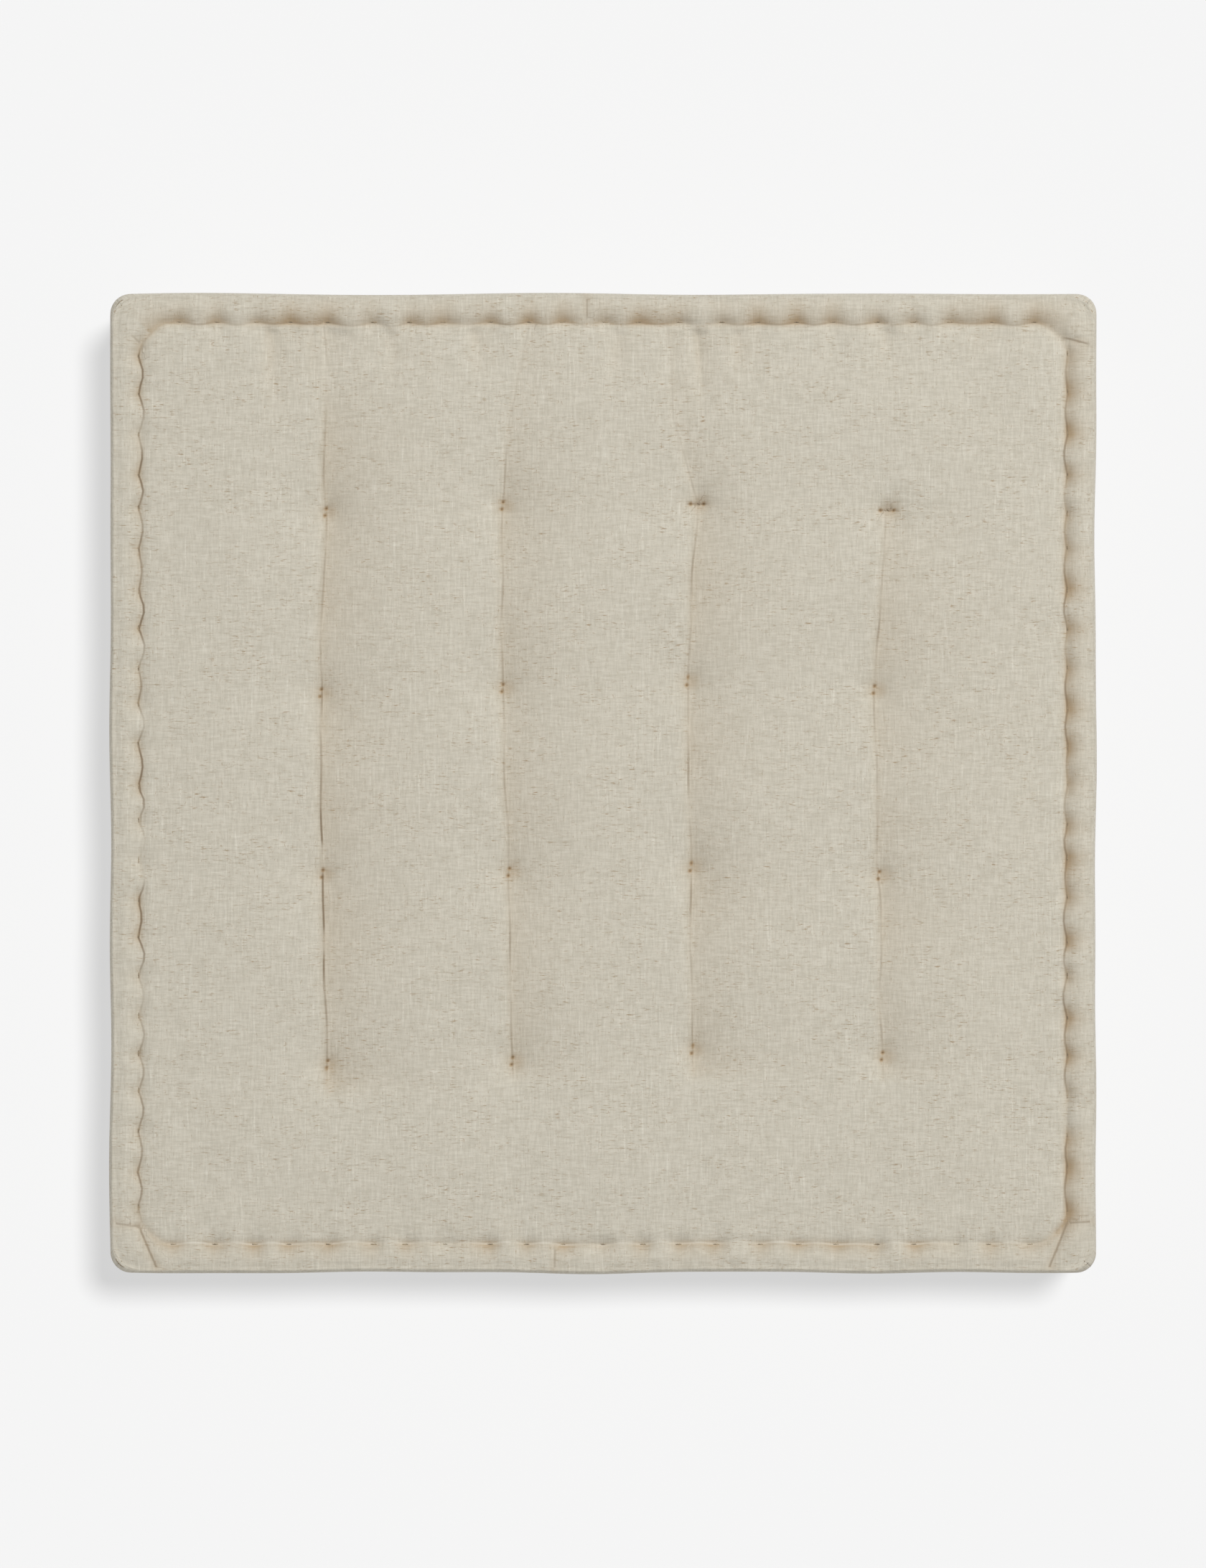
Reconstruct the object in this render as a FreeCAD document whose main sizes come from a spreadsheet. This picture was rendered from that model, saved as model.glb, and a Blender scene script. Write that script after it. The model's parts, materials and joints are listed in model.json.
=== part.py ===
import FreeCAD, Part
import math
import os
import Sketcher

# Square tufted floor cushion with rolled edges, in millimetres.
# +X is the cushion's right, +Y its back, +Z up; the origin is on the floor under its middle.
#
# It is built in nested layers, from the outside in: a sewn cloth cover, a wrap of batting,
# and a foam core. The cover's outer surface, its inner surface and the batting's outer
# surface are one and the same block at three insets, so the layers follow each other.
# The cover is then divided along its seams into two panels and four bands, and the batting
# into two sheets and four strips. Threads hold it together: seam threads inside the cover,
# running stitches through the rolled edges, and twine ties through the whole thickness.

SIZES = (
    ("cushion_width", 610.0, "overall, along X"),
    ("cushion_depth", 606.0, "overall, along Y"),
    ("cushion_height", 127.0, "overall, along Z"),
    ("corner_radius", 12.0, "upright corners, seen from above"),
    ("cloth", 1.2, "thickness of the linen cover"),
    ("batting", 12.0, "thickness of the batting wrap"),
    ("ease", 0.3, "gap between one layer and the next"),
    ("roll_radius", 8.5, "outer shoulder of the rolled edges"),
    ("roll_width", 17.0, "from the outline to the groove behind the roll"),
    ("roll_drop", 21.0, "from the top or bottom face to the groove in the band"),
    ("groove_radius", 4.0, "section of the groove behind the roll"),
    ("groove_depth", 4.0, "depth of the groove behind the roll"),
    ("groove_corner", 20.0, "corners of the groove behind the roll"),
    ("side_groove_radius", 6.0, "section of the grooves round the bands"),
    ("side_groove_depth", 3.0, "depth of the grooves round the bands"),
    ("seam_rise", 4.8, "panel seam above the roll's widest line"),
    ("tuft_pitch_across", 114.5, "from one tuft to the next along X"),
    ("tuft_pitch_deep", 114.0, "from one tuft to the next along Y"),
    ("tuft_columns", 4.0, "tufts along X"),
    ("tuft_rows", 4.0, "tufts along Y"),
    ("dimple_sphere", 30.0, "radius of the dimple round each tuft"),
    ("dimple_depth", 9.0, "depth of the dimple round each tuft"),
    ("twine", 1.6, "thickness of the tuft ties"),
    ("tack_length", 6.0, "between the two legs of a tuft tie"),
    ("stitch_thread", 1.0, "thickness of the thread in the rolled edges"),
    ("stitch_pitch", 24.0, "from one stitch to the next"),
    ("stitch_dash", 7.0, "length of a stitch where it shows in the groove"),
    ("stitch_margin", 32.0, "from the outline to where the stitches start"),
    ("seam_thread", 1.0, "thickness of the thread inside the seams"),
    ("needle_ease", 0.2, "gap round a thread where it goes through a layer"),
)

doc = FreeCAD.newDocument("floor_cushion")
sheet = doc.addObject("Spreadsheet::Sheet", "Sizes")
for row, (alias, size, note) in enumerate(SIZES, start=1):
    sheet.set(f"A{row}", alias)
    sheet.set(f"B{row}", str(size))
    sheet.set(f"C{row}", note)
    sheet.setAlias(f"B{row}", alias)
doc.recompute()

HALF_WIDTH = "Sizes.cushion_width / 2"
HALF_DEPTH = "Sizes.cushion_depth / 2"
HEIGHT = "Sizes.cushion_height"
CLOTH_INSET = "Sizes.cloth"
BATTING_INSET = "(Sizes.cloth + Sizes.ease)"
CORE_VOID_INSET = "(Sizes.cloth + Sizes.ease + Sizes.batting)"
CORE_INSET = "(Sizes.cloth + 2 * Sizes.ease + Sizes.batting)"
SEAM_HEIGHTS = {
    "bottom": "(Sizes.roll_radius - Sizes.seam_rise)",
    "top": "(Sizes.cushion_height - Sizes.roll_radius + Sizes.seam_rise)",
}
# How far a cutting block reaches past the cushion on every side.
OVERREACH = 20.0
# How close two heights have to be to count as the same one.
TOLERANCE = 1e-4
SIDES = ("front", "right", "back", "left")
# Each corner: its sense along X and Y, and the two sides that meet there.
CORNERS = {
    "front_left": (-1, -1, ("front", "left")),
    "front_right": (1, -1, ("front", "right")),
    "back_right": (1, 1, ("back", "right")),
    "back_left": (-1, 1, ("back", "left")),
}
MIDDLE = FreeCAD.Vector(0, 0, 0)
FLAT = FreeCAD.Vector(0, 0, 1)


def measure(expression):
    """The value that an expression has now, to draw a sketch close to its final size."""
    return float(sheet.evalExpression(expression.replace("Sizes.", "")))


def set_place(piece, across=None, deep=None, up=None):
    """Ties a piece's position to the sheet, one expression for each direction given."""
    for direction, expression in (("x", across), ("y", deep), ("z", up)):
        if expression is not None:
            piece.setExpression(f"Placement.Base.{direction}", expression)


def origin_feature(body, role):
    """One of a body's own base planes or axes."""
    return next(f for f in body.Origin.OriginFeatures if f.Role == role)


def new_body(label):
    body = doc.addObject("PartDesign::Body", label)
    body.Label = label
    body.AllowCompound = True
    return body


def new_sketch(body, name, plane="XY_Plane", up=None):
    """An empty sketch on one of the body's own planes, raised by the expression up."""
    sketch = body.newObject("Sketcher::SketchObject", name)
    sketch.AttachmentSupport = [(origin_feature(body, plane), "")]
    sketch.MapMode = "FlatFace"
    if up is not None:
        sketch.setExpression("AttachmentOffset.Base.z", up)
    return sketch


def constrain(sketch, name, expression, kind, *where):
    """Adds one named dimension, drawn at its present value and then tied to the sheet."""
    index = sketch.addConstraint(Sketcher.Constraint(kind, *where, measure(expression)))
    sketch.renameConstraint(index, name)
    sketch.setExpression(f"Constraints.{name}", expression)


def rounded_rectangle(body, name, half_x, half_y, radius, up):
    """Sketch of a rounded rectangle about the Z axis. Its right side is drawn as two lines
    that meet on the X axis, so a sweep along it starts there."""
    sketch = new_sketch(body, name, up=up)
    x, y, r = measure(half_x), measure(half_y), measure(radius)
    straight_x, straight_y = x - r, y - r
    ends = (
        ((x, 0), (x, straight_y)),
        ((straight_x, y), (-straight_x, y)),
        ((-x, straight_y), (-x, -straight_y)),
        ((-straight_x, -y), (straight_x, -y)),
        ((x, -straight_y), (x, 0)),
    )
    for start, end in ends:
        line = Part.LineSegment(FreeCAD.Vector(*start, 0), FreeCAD.Vector(*end, 0))
        sketch.addGeometry(line, False)
    quarter = math.pi / 2
    centres = (
        (straight_x, straight_y),
        (-straight_x, straight_y),
        (-straight_x, -straight_y),
        (straight_x, -straight_y),
    )
    for turn, centre in enumerate(centres):
        circle = Part.Circle(FreeCAD.Vector(*centre, 0), FLAT, r)
        sketch.addGeometry(Part.ArcOfCircle(circle, turn * quarter, (turn + 1) * quarter), False)
    for corner in range(4):
        arc = 5 + corner
        sketch.addConstraint(Sketcher.Constraint("Tangent", corner, 2, arc, 1))
        sketch.addConstraint(Sketcher.Constraint("Tangent", arc, 2, corner + 1, 1))
        if corner:
            sketch.addConstraint(Sketcher.Constraint("Equal", 5, arc))
    sketch.addConstraint(Sketcher.Constraint("Coincident", 4, 2, 0, 1))
    sketch.addConstraint(Sketcher.Constraint("PointOnObject", 0, 1, -1))
    for line in range(len(ends)):
        kind = "Horizontal" if line % 2 else "Vertical"
        sketch.addConstraint(Sketcher.Constraint(kind, line))
    constrain(sketch, "corner", radius, "Radius", 5)
    constrain(sketch, "right", half_x, "DistanceX", -1, 1, 0, 1)
    constrain(sketch, "back", half_y, "DistanceY", -1, 1, 1, 1)
    constrain(sketch, "left", half_x, "DistanceX", 2, 1, -1, 1)
    constrain(sketch, "front", half_y, "DistanceY", 3, 1, -1, 1)
    return sketch


def section_circle(body, name, out, up, radius):
    """Sketch of a circle in the XZ plane, for a sweep: its centre lies out and up."""
    sketch = new_sketch(body, name, plane="XZ_Plane")
    centre = FreeCAD.Vector(measure(out), measure(up), 0)
    sketch.addGeometry(Part.Circle(centre, FLAT, measure(radius)), False)
    constrain(sketch, "size", radius, "Radius", 0)
    constrain(sketch, "out", out, "DistanceX", -1, 1, 0, 3)
    constrain(sketch, "up", up, "DistanceY", -1, 1, 0, 3)
    return sketch


def polygon(body, name, points):
    """Sketch of a closed polygon on the XY plane. Each point is a pair of expressions."""
    sketch = new_sketch(body, name)
    drawn = [FreeCAD.Vector(measure(across), measure(deep), 0) for across, deep in points]
    for index, start in enumerate(drawn):
        sketch.addGeometry(Part.LineSegment(start, drawn[(index + 1) % len(drawn)]), False)
    for index in range(len(drawn)):
        following = (index + 1) % len(drawn)
        sketch.addConstraint(Sketcher.Constraint("Coincident", index, 2, following, 1))
    for index, (across, deep) in enumerate(points):
        constrain(sketch, f"across{index}", across, "DistanceX", -1, 1, index, 1)
        constrain(sketch, f"deep{index}", deep, "DistanceY", -1, 1, index, 1)
    return sketch


def pad(body, name, sketch, length, both_ways=False):
    feature = body.newObject("PartDesign::Pad", name)
    feature.Profile = sketch
    feature.Midplane = both_ways
    feature.setExpression("Length", length)
    return feature


def sweep(body, name, kind, section, path):
    """Carries a section round a path, as kind says: AdditivePipe or SubtractivePipe."""
    feature = body.newObject(f"PartDesign::{kind}", name)
    feature.Profile = section
    feature.Spine = path
    return feature


def pattern(body, name, original, steps):
    """Repeats a feature along X, Y or both. Each step is (axis, spacing, count)."""
    feature = body.newObject("PartDesign::LinearPattern", name)
    feature.Originals = [original]
    for suffix, (axis, spacing, count) in zip(("", "2"), steps):
        setattr(feature, f"Direction{suffix}", (origin_feature(body, axis), [""]))
        setattr(feature, f"Mode{suffix}", "Extent")
        feature.setExpression(f"Length{suffix}", f"{spacing} * ({count} - 1)")
        feature.setExpression(f"Occurrences{suffix}", count)
    body.Tip = feature
    return feature


def edges_at(shape, height):
    """Names of the edges that lie flat at a height."""
    names = []
    for number, edge in enumerate(shape.Edges, start=1):
        box = edge.BoundBox
        if abs(box.ZMin - height) < TOLERANCE and abs(box.ZMax - height) < TOLERANCE:
            names.append(f"Edge{number}")
    return names


def cushion_block(label, inset):
    """The cushion's outer form, drawn in by an inset on every side: rolled top and bottom
    edges, a groove behind each roll, a groove round the band under each roll, and a dimple
    at every tuft, above and below."""
    body = new_body(label)
    outline = rounded_rectangle(
        body, f"{label}_outline", f"{HALF_WIDTH} - {inset}", f"{HALF_DEPTH} - {inset}",
        f"Sizes.corner_radius - {inset}", inset,
    )
    slab = pad(body, f"{label}_slab", outline, f"{HEIGHT} - 2 * {inset}")
    doc.recompute()
    shoulders = body.newObject("PartDesign::Fillet", f"{label}_shoulders")
    low, high = measure(inset), measure(f"{HEIGHT} - {inset}")
    shoulders.Base = (slab, edges_at(slab.Shape, low) + edges_at(slab.Shape, high))
    shoulders.setExpression("Radius", f"Sizes.roll_radius - {inset}")

    groove_lift = "(Sizes.groove_radius - Sizes.groove_depth)"
    side_lift = "(Sizes.side_groove_radius - Sizes.side_groove_depth)"
    roll_grooves = (
        "- Sizes.roll_width", "Sizes.groove_corner", f"Sizes.groove_radius + {inset}",
        {"top": f"{HEIGHT} + {groove_lift}", "bottom": f"-{groove_lift}"},
    )
    band_grooves = (
        f"+ {side_lift}", f"Sizes.corner_radius + {side_lift}",
        f"Sizes.side_groove_radius + {inset}",
        {"top": f"{HEIGHT} - Sizes.roll_drop", "bottom": "Sizes.roll_drop"},
    )
    for kind, (out, corner, radius, heights) in (("roll", roll_grooves), ("band", band_grooves)):
        for face, up in heights.items():
            name = f"{label}_{kind}_groove_{face}"
            path = rounded_rectangle(
                body, f"{name}_path", f"{HALF_WIDTH} {out}", f"{HALF_DEPTH} {out}", corner, up
            )
            section = section_circle(body, f"{name}_section", f"{HALF_WIDTH} {out}", up, radius)
            sweep(body, name, "SubtractivePipe", section, path)

    centres = {
        "top": f"{HEIGHT} - Sizes.dimple_depth + Sizes.dimple_sphere",
        "bottom": "Sizes.dimple_depth - Sizes.dimple_sphere",
    }
    for face, up in centres.items():
        dimple = body.newObject("PartDesign::SubtractiveSphere", f"{label}_dimple_{face}")
        dimple.setExpression("Radius", f"Sizes.dimple_sphere + {inset}")
        first_column = "-(Sizes.tuft_columns - 1) / 2 * Sizes.tuft_pitch_across"
        first_row = "-(Sizes.tuft_rows - 1) / 2 * Sizes.tuft_pitch_deep"
        set_place(dimple, first_column, first_row, up)
        pattern(
            body, f"{label}_dimples_{face}", dimple,
            (
                ("X_Axis", "Sizes.tuft_pitch_across", "Sizes.tuft_columns"),
                ("Y_Axis", "Sizes.tuft_pitch_deep", "Sizes.tuft_rows"),
            ),
        )
    return body


def plain_block(label, inset):
    """A plain box, drawn in from the cushion's outer size by an inset on every side."""
    box = doc.addObject("Part::Box", label)
    box.setExpression("Length", f"Sizes.cushion_width - 2 * {inset}")
    box.setExpression("Width", f"Sizes.cushion_depth - 2 * {inset}")
    box.setExpression("Height", f"{HEIGHT} - 2 * {inset}")
    set_place(box, f"-{HALF_WIDTH} + {inset}", f"-{HALF_DEPTH} + {inset}", inset)
    return box


def level_slab(label, bottom, top):
    """A cutting block that covers the cushion's plan from one height to another."""
    box = doc.addObject("Part::Box", label)
    box.setExpression("Length", f"Sizes.cushion_width + 2 * {OVERREACH}")
    box.setExpression("Width", f"Sizes.cushion_depth + 2 * {OVERREACH}")
    box.setExpression("Height", f"{top} - {bottom}")
    set_place(box, f"-{HALF_WIDTH} - {OVERREACH}", f"-{HALF_DEPTH} - {OVERREACH}", bottom)
    return box


def side_wedge(label, side, reach, bottom, top):
    """A cutting block for one side, from outside the cushion to a reach inside it, with its
    ends mitred at 45 degrees through the corners."""
    turned = side in ("right", "left")
    along, away = (HALF_DEPTH, HALF_WIDTH) if turned else (HALF_WIDTH, HALF_DEPTH)
    wedge = doc.addObject("Part::Wedge", label)
    wedge.setExpression("Xmin", f"-{along} - {OVERREACH}")
    wedge.setExpression("Xmax", f"{along} + {OVERREACH}")
    wedge.setExpression("X2min", f"-{along} + {reach}")
    wedge.setExpression("X2max", f"{along} - {reach}")
    wedge.setExpression("Ymin", f"-{away} - {OVERREACH}")
    wedge.setExpression("Ymax", f"-{away} + {reach}")
    for depth in ("Zmin", "Z2min"):
        wedge.setExpression(depth, bottom)
    for depth in ("Zmax", "Z2max"):
        wedge.setExpression(depth, top)
    wedge.Placement = FreeCAD.Placement(MIDDLE, FreeCAD.Rotation(FLAT, 90 * SIDES.index(side)))
    return wedge


def cut(label, base, tool):
    result = doc.addObject("Part::Cut", label)
    result.Base = base
    result.Tool = tool
    result.Label = label
    return result


def common(label, base, tool):
    result = doc.addObject("Part::Common", label)
    result.Base = base
    result.Tool = tool
    result.Label = label
    return result


def together(label, pieces):
    group = doc.addObject("Part::Compound", label)
    group.Links = pieces
    group.Label = label
    return group


def mirrored(label, source, normal):
    """A copy of a piece on the other side of the cushion's middle, across a plane."""
    copy = doc.addObject("Part::Mirroring", label)
    copy.Source = source
    copy.Normal = FreeCAD.Vector(*normal)
    copy.setExpression("Base.z", f"{HEIGHT} / 2")
    copy.Label = label
    return copy


def tuft_tie(label, column, row, slack):
    """One closed loop of twine through the whole cushion. Slack is the gap to leave on each
    side of it, which is none for the tie and some for the hole that it goes through."""
    body = new_body(label)
    half = f"(Sizes.twine / 2 + {slack})"
    reach = f"{HEIGHT} / 2 - Sizes.dimple_depth + Sizes.twine / 2"
    sketch = new_sketch(body, f"{label}_loop", plane="YZ_Plane")
    for number, grow in enumerate((f"+ {half}", f"- {half}")):
        out, up = f"Sizes.tack_length / 2 {grow}", f"{reach} {grow}"
        wide, tall = measure(out), measure(up)
        corners = [(wide, tall), (-wide, tall), (-wide, -tall), (wide, -tall)]
        first = 4 * number
        for index, start in enumerate(corners):
            end = corners[(index + 1) % 4]
            line = Part.LineSegment(FreeCAD.Vector(*start, 0), FreeCAD.Vector(*end, 0))
            sketch.addGeometry(line, False)
        for index in range(4):
            following = first + (index + 1) % 4
            sketch.addConstraint(Sketcher.Constraint("Coincident", first + index, 2, following, 1))
            kind = "Horizontal" if index % 2 == 0 else "Vertical"
            sketch.addConstraint(Sketcher.Constraint(kind, first + index))
        constrain(sketch, f"right{number}", out, "DistanceX", -1, 1, first, 1)
        constrain(sketch, f"top{number}", up, "DistanceY", -1, 1, first, 1)
        constrain(sketch, f"left{number}", out, "DistanceX", first + 2, 1, -1, 1)
        constrain(sketch, f"bottom{number}", up, "DistanceY", first + 2, 1, -1, 1)
    pad(body, f"{label}_twine", sketch, f"2 * {half}", both_ways=True)
    set_place(
        body,
        f"({column} - (Sizes.tuft_columns + 1) / 2) * Sizes.tuft_pitch_across",
        f"((Sizes.tuft_rows + 1) / 2 - {row}) * Sizes.tuft_pitch_deep",
        f"{HEIGHT} / 2",
    )
    return body


def roll_stitches(label, side, slack):
    """The running stitch that shapes the top rolled edge along the front or right side. Its
    path is a square wave in one sloping plane: a short dash in the groove behind the roll,
    down through the roll, a long dash in the groove round the band, and back up."""
    body = new_body(label)
    half = f"(Sizes.stitch_thread / 2 + {slack})"
    out = "(Sizes.roll_width - Sizes.side_groove_depth + Sizes.stitch_thread / 2)"
    down = "(Sizes.roll_drop - Sizes.groove_depth + Sizes.stitch_thread / 2)"
    leg = f"sqrt({out} * {out} + {down} * {down})"
    dash, pitch = "Sizes.stitch_dash", "Sizes.stitch_pitch"
    along_side, away = (HALF_WIDTH, HALF_DEPTH) if side == "front" else (HALF_DEPTH, HALF_WIDTH)
    count = f"floor(2 * ({along_side} - Sizes.stitch_margin) / {pitch})"
    start = f"-({count}) * {pitch} / 2"
    wave = (
        (f"-{half}", f"-{half}"),
        (f"{dash} + {half}", f"-{half}"),
        (f"{dash} + {half}", f"{leg} - {half}"),
        (f"{pitch} - {half}", f"{leg} - {half}"),
        (f"{pitch} - {half}", f"-{half}"),
        (f"{pitch} + {half}", f"-{half}"),
        (f"{pitch} + {half}", f"{leg} + {half}"),
        (f"{dash} - {half}", f"{leg} + {half}"),
        (f"{dash} - {half}", half),
        (f"-{half}", half),
    )
    if side == "front":
        points = [(f"{start} + {along}", f"-({outward})") for along, outward in wave]
    else:
        points = [(outward, f"{start} + {along}") for along, outward in wave]
    sketch = polygon(body, f"{label}_wave", points)
    stitch = pad(body, f"{label}_stitch", sketch, f"2 * {half}", both_ways=True)
    axis = "X_Axis" if side == "front" else "Y_Axis"
    pattern(body, f"{label}_row", stitch, ((axis, pitch, count),))
    tilt_axis = FreeCAD.Vector(1, 0, 0) if side == "front" else FreeCAD.Vector(0, 1, 0)
    tilt = f"atan2({down}; {out})"
    body.Placement.Rotation = FreeCAD.Rotation(tilt_axis, measure(tilt))
    body.setExpression("Placement.Rotation.Angle", tilt)
    groove_floor = f"{HEIGHT} - Sizes.groove_depth + Sizes.stitch_thread / 2"
    if side == "front":
        set_place(body, deep=f"-{away} + Sizes.roll_width", up=groove_floor)
    else:
        set_place(body, across=f"{away} - Sizes.roll_width", up=groove_floor)
    return body


def all_roll_stitches(prefix, slack):
    """Running stitches for the top and bottom rolls of all four sides, by face and side."""
    rows = {}
    for side, opposite, normal in (("front", "back", (0, 1, 0)), ("right", "left", (1, 0, 0))):
        top = roll_stitches(f"{prefix}_top_{side}", side, slack)
        rows["top", side] = top
        rows["top", opposite] = mirrored(f"{prefix}_top_{opposite}", top, normal)
    for side in SIDES:
        rows["bottom", side] = mirrored(f"{prefix}_bottom_{side}", rows["top", side], (0, 0, 1))
    return rows


def seam_loop(label, face, slack):
    """The thread that joins a panel to the bands, just inside the roll's shoulder."""
    body = new_body(label)
    centre = "(Sizes.roll_radius - Sizes.cloth - Sizes.needle_ease - Sizes.seam_thread / 2)"
    slope = "asin(Sizes.seam_rise / Sizes.roll_radius)"
    out = f"- Sizes.roll_radius + {centre} * cos({slope})"
    up = f"(Sizes.roll_radius - {centre} * sin({slope}))"
    height = up if face == "bottom" else f"{HEIGHT} - {up}"
    path = rounded_rectangle(
        body, f"{label}_path", f"{HALF_WIDTH} {out}", f"{HALF_DEPTH} {out}",
        f"Sizes.corner_radius {out}", height,
    )
    section = section_circle(
        body, f"{label}_section", f"{HALF_WIDTH} {out}", height, f"Sizes.seam_thread / 2 + {slack}"
    )
    sweep(body, f"{label}_thread", "AdditivePipe", section, path)
    return body


def corner_seam(label, across, deep, slack):
    """The upright thread that joins two bands inside a corner. Across and deep are +1 or -1."""
    thread = doc.addObject("Part::Cylinder", label)
    thread.Label = label
    thread.setExpression("Radius", f"Sizes.seam_thread / 2 + {slack}")
    low = f"({SEAM_HEIGHTS['bottom']} - {slack})"
    thread.setExpression("Height", f"{SEAM_HEIGHTS['top']} + {slack} - {low}")
    inside = (
        "(Sizes.corner_radius - Sizes.side_groove_depth - Sizes.cloth"
        " - 2 * Sizes.ease - Sizes.seam_thread / 2)"
    )
    out = f"- Sizes.corner_radius + {inside} * cos(45)"
    set_place(thread, f"{across} * ({HALF_WIDTH} {out})", f"{deep} * ({HALF_DEPTH} {out})", low)
    return thread


# ---- Threads, and the holes and channels that they run in ----

TUFT_PLACES = [
    (column, row)
    for row in range(1, round(measure("Sizes.tuft_rows")) + 1)
    for column in range(1, round(measure("Sizes.tuft_columns")) + 1)
]


def all_threads(tie, stitch, seam, slack):
    """Every thread in the cushion, as dictionaries of ties, roll stitches, seam loops and
    corner seams. Tie, stitch and seam are the words that their labels start with."""
    ties = {
        (column, row): tuft_tie(f"{tie}_row{row}_col{column}", column, row, slack)
        for column, row in TUFT_PLACES
    }
    stitches = all_roll_stitches(stitch, slack)
    loops = {face: seam_loop(f"{seam}_{face}", face, slack) for face in ("top", "bottom")}
    corners = {
        name: corner_seam(f"{seam}_{name}", across, deep, slack)
        for name, (across, deep, _) in CORNERS.items()
    }
    return ties, stitches, loops, corners


threads = [
    thread
    for group in all_threads("tuft_tie", "roll_stitch", "seam_thread", 0)
    for thread in group.values()
]
tie_holes, stitch_holes, seam_channels, corner_channels = all_threads(
    "tie_hole", "stitch_hole", "seam_channel", "Sizes.needle_ease"
)

# ---- Layers ----

cover_outside = cushion_block("cover_outside", "0")
cover_inside = cushion_block("cover_inside", CLOTH_INSET)
batting_outside = cushion_block("batting_outside", BATTING_INSET)
core_void = plain_block("core_void", CORE_VOID_INSET)
core_block = plain_block("core_block", CORE_INSET)
cover_shell = cut("cover_shell", cover_outside, cover_inside)
batting_shell = cut("batting_shell", batting_outside, core_void)


def pierced(label, piece, holes):
    """A piece with the holes of the threads that go through it."""
    return cut(label, piece, together(f"{label}_holes", holes))


def divide(shell, reach, low, high):
    """Cuts a shell into a top piece, a bottom piece and four mitred side pieces. The side
    pieces lie between two heights and within a reach of the outline."""
    wedges = {
        side: side_wedge(f"{shell.Label}_{side}_zone", side, reach, low, high) for side in SIDES
    }
    middle = f"({HEIGHT} / 2)"
    slabs = {
        "top": level_slab(f"{shell.Label}_above", middle, f"({HEIGHT} + {OVERREACH})"),
        "bottom": level_slab(f"{shell.Label}_below", f"(-{OVERREACH})", middle),
    }
    ring = together(f"{shell.Label}_sides_zone", list(wedges.values()))
    pieces = {
        face: cut(f"{shell.Label}_{face}", common(f"{shell.Label}_{face}_half", shell, slab), ring)
        for face, slab in slabs.items()
    }
    for side, wedge in wedges.items():
        pieces[side] = common(f"{shell.Label}_{side}", shell, wedge)
    return pieces


cover = divide(cover_shell, "Sizes.roll_radius", SEAM_HEIGHTS["bottom"], SEAM_HEIGHTS["top"])
batting = divide(
    batting_shell, CORE_VOID_INSET, CORE_VOID_INSET, f"({HEIGHT} - {CORE_VOID_INSET})"
)
sewn = []
for face in ("top", "bottom"):
    through_face = [*tie_holes.values(), *(stitch_holes[face, side] for side in SIDES)]
    around_face = [seam_channels[face], *corner_channels.values()]
    sewn.append(pierced(f"{face}_panel", cover[face], through_face))
    sewn.append(pierced(f"batting_{face}", batting[face], through_face + around_face))
for side in SIDES:
    through_side = [stitch_holes[face, side] for face in ("top", "bottom")]
    upright = [corner_channels[name] for name, (_, _, met) in CORNERS.items() if side in met]
    sewn.append(pierced(f"band_{side}", cover[side], through_side))
    sewn.append(pierced(f"batting_{side}", batting[side], through_side + upright))
core = pierced("foam_core", core_block, list(tie_holes.values()))

# ---- Check and write every sub-part ----

doc.recompute()
for item in doc.Objects:
    if "Invalid" in item.State or "Error" in item.State:
        raise RuntimeError(f"{item.Label} failed: {item.State}")

sub_parts = [*sewn, core, *threads]
os.makedirs("parts", exist_ok=True)
for sub_part in sub_parts:
    shape = sub_part.Shape
    if shape.isNull() or not shape.isValid() or not shape.Solids:
        raise RuntimeError(f"{sub_part.Label} has no valid solid")
    shape.exportStep(f"parts/{sub_part.Label}.step")
    print(f"{sub_part.Label}: {len(shape.Solids)} solid(s), {shape.Volume / 1000:.1f} cm3")
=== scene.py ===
import json
import math

import bmesh
import bpy
import numpy as np
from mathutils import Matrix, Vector
from mathutils.bvhtree import BVHTree

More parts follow.
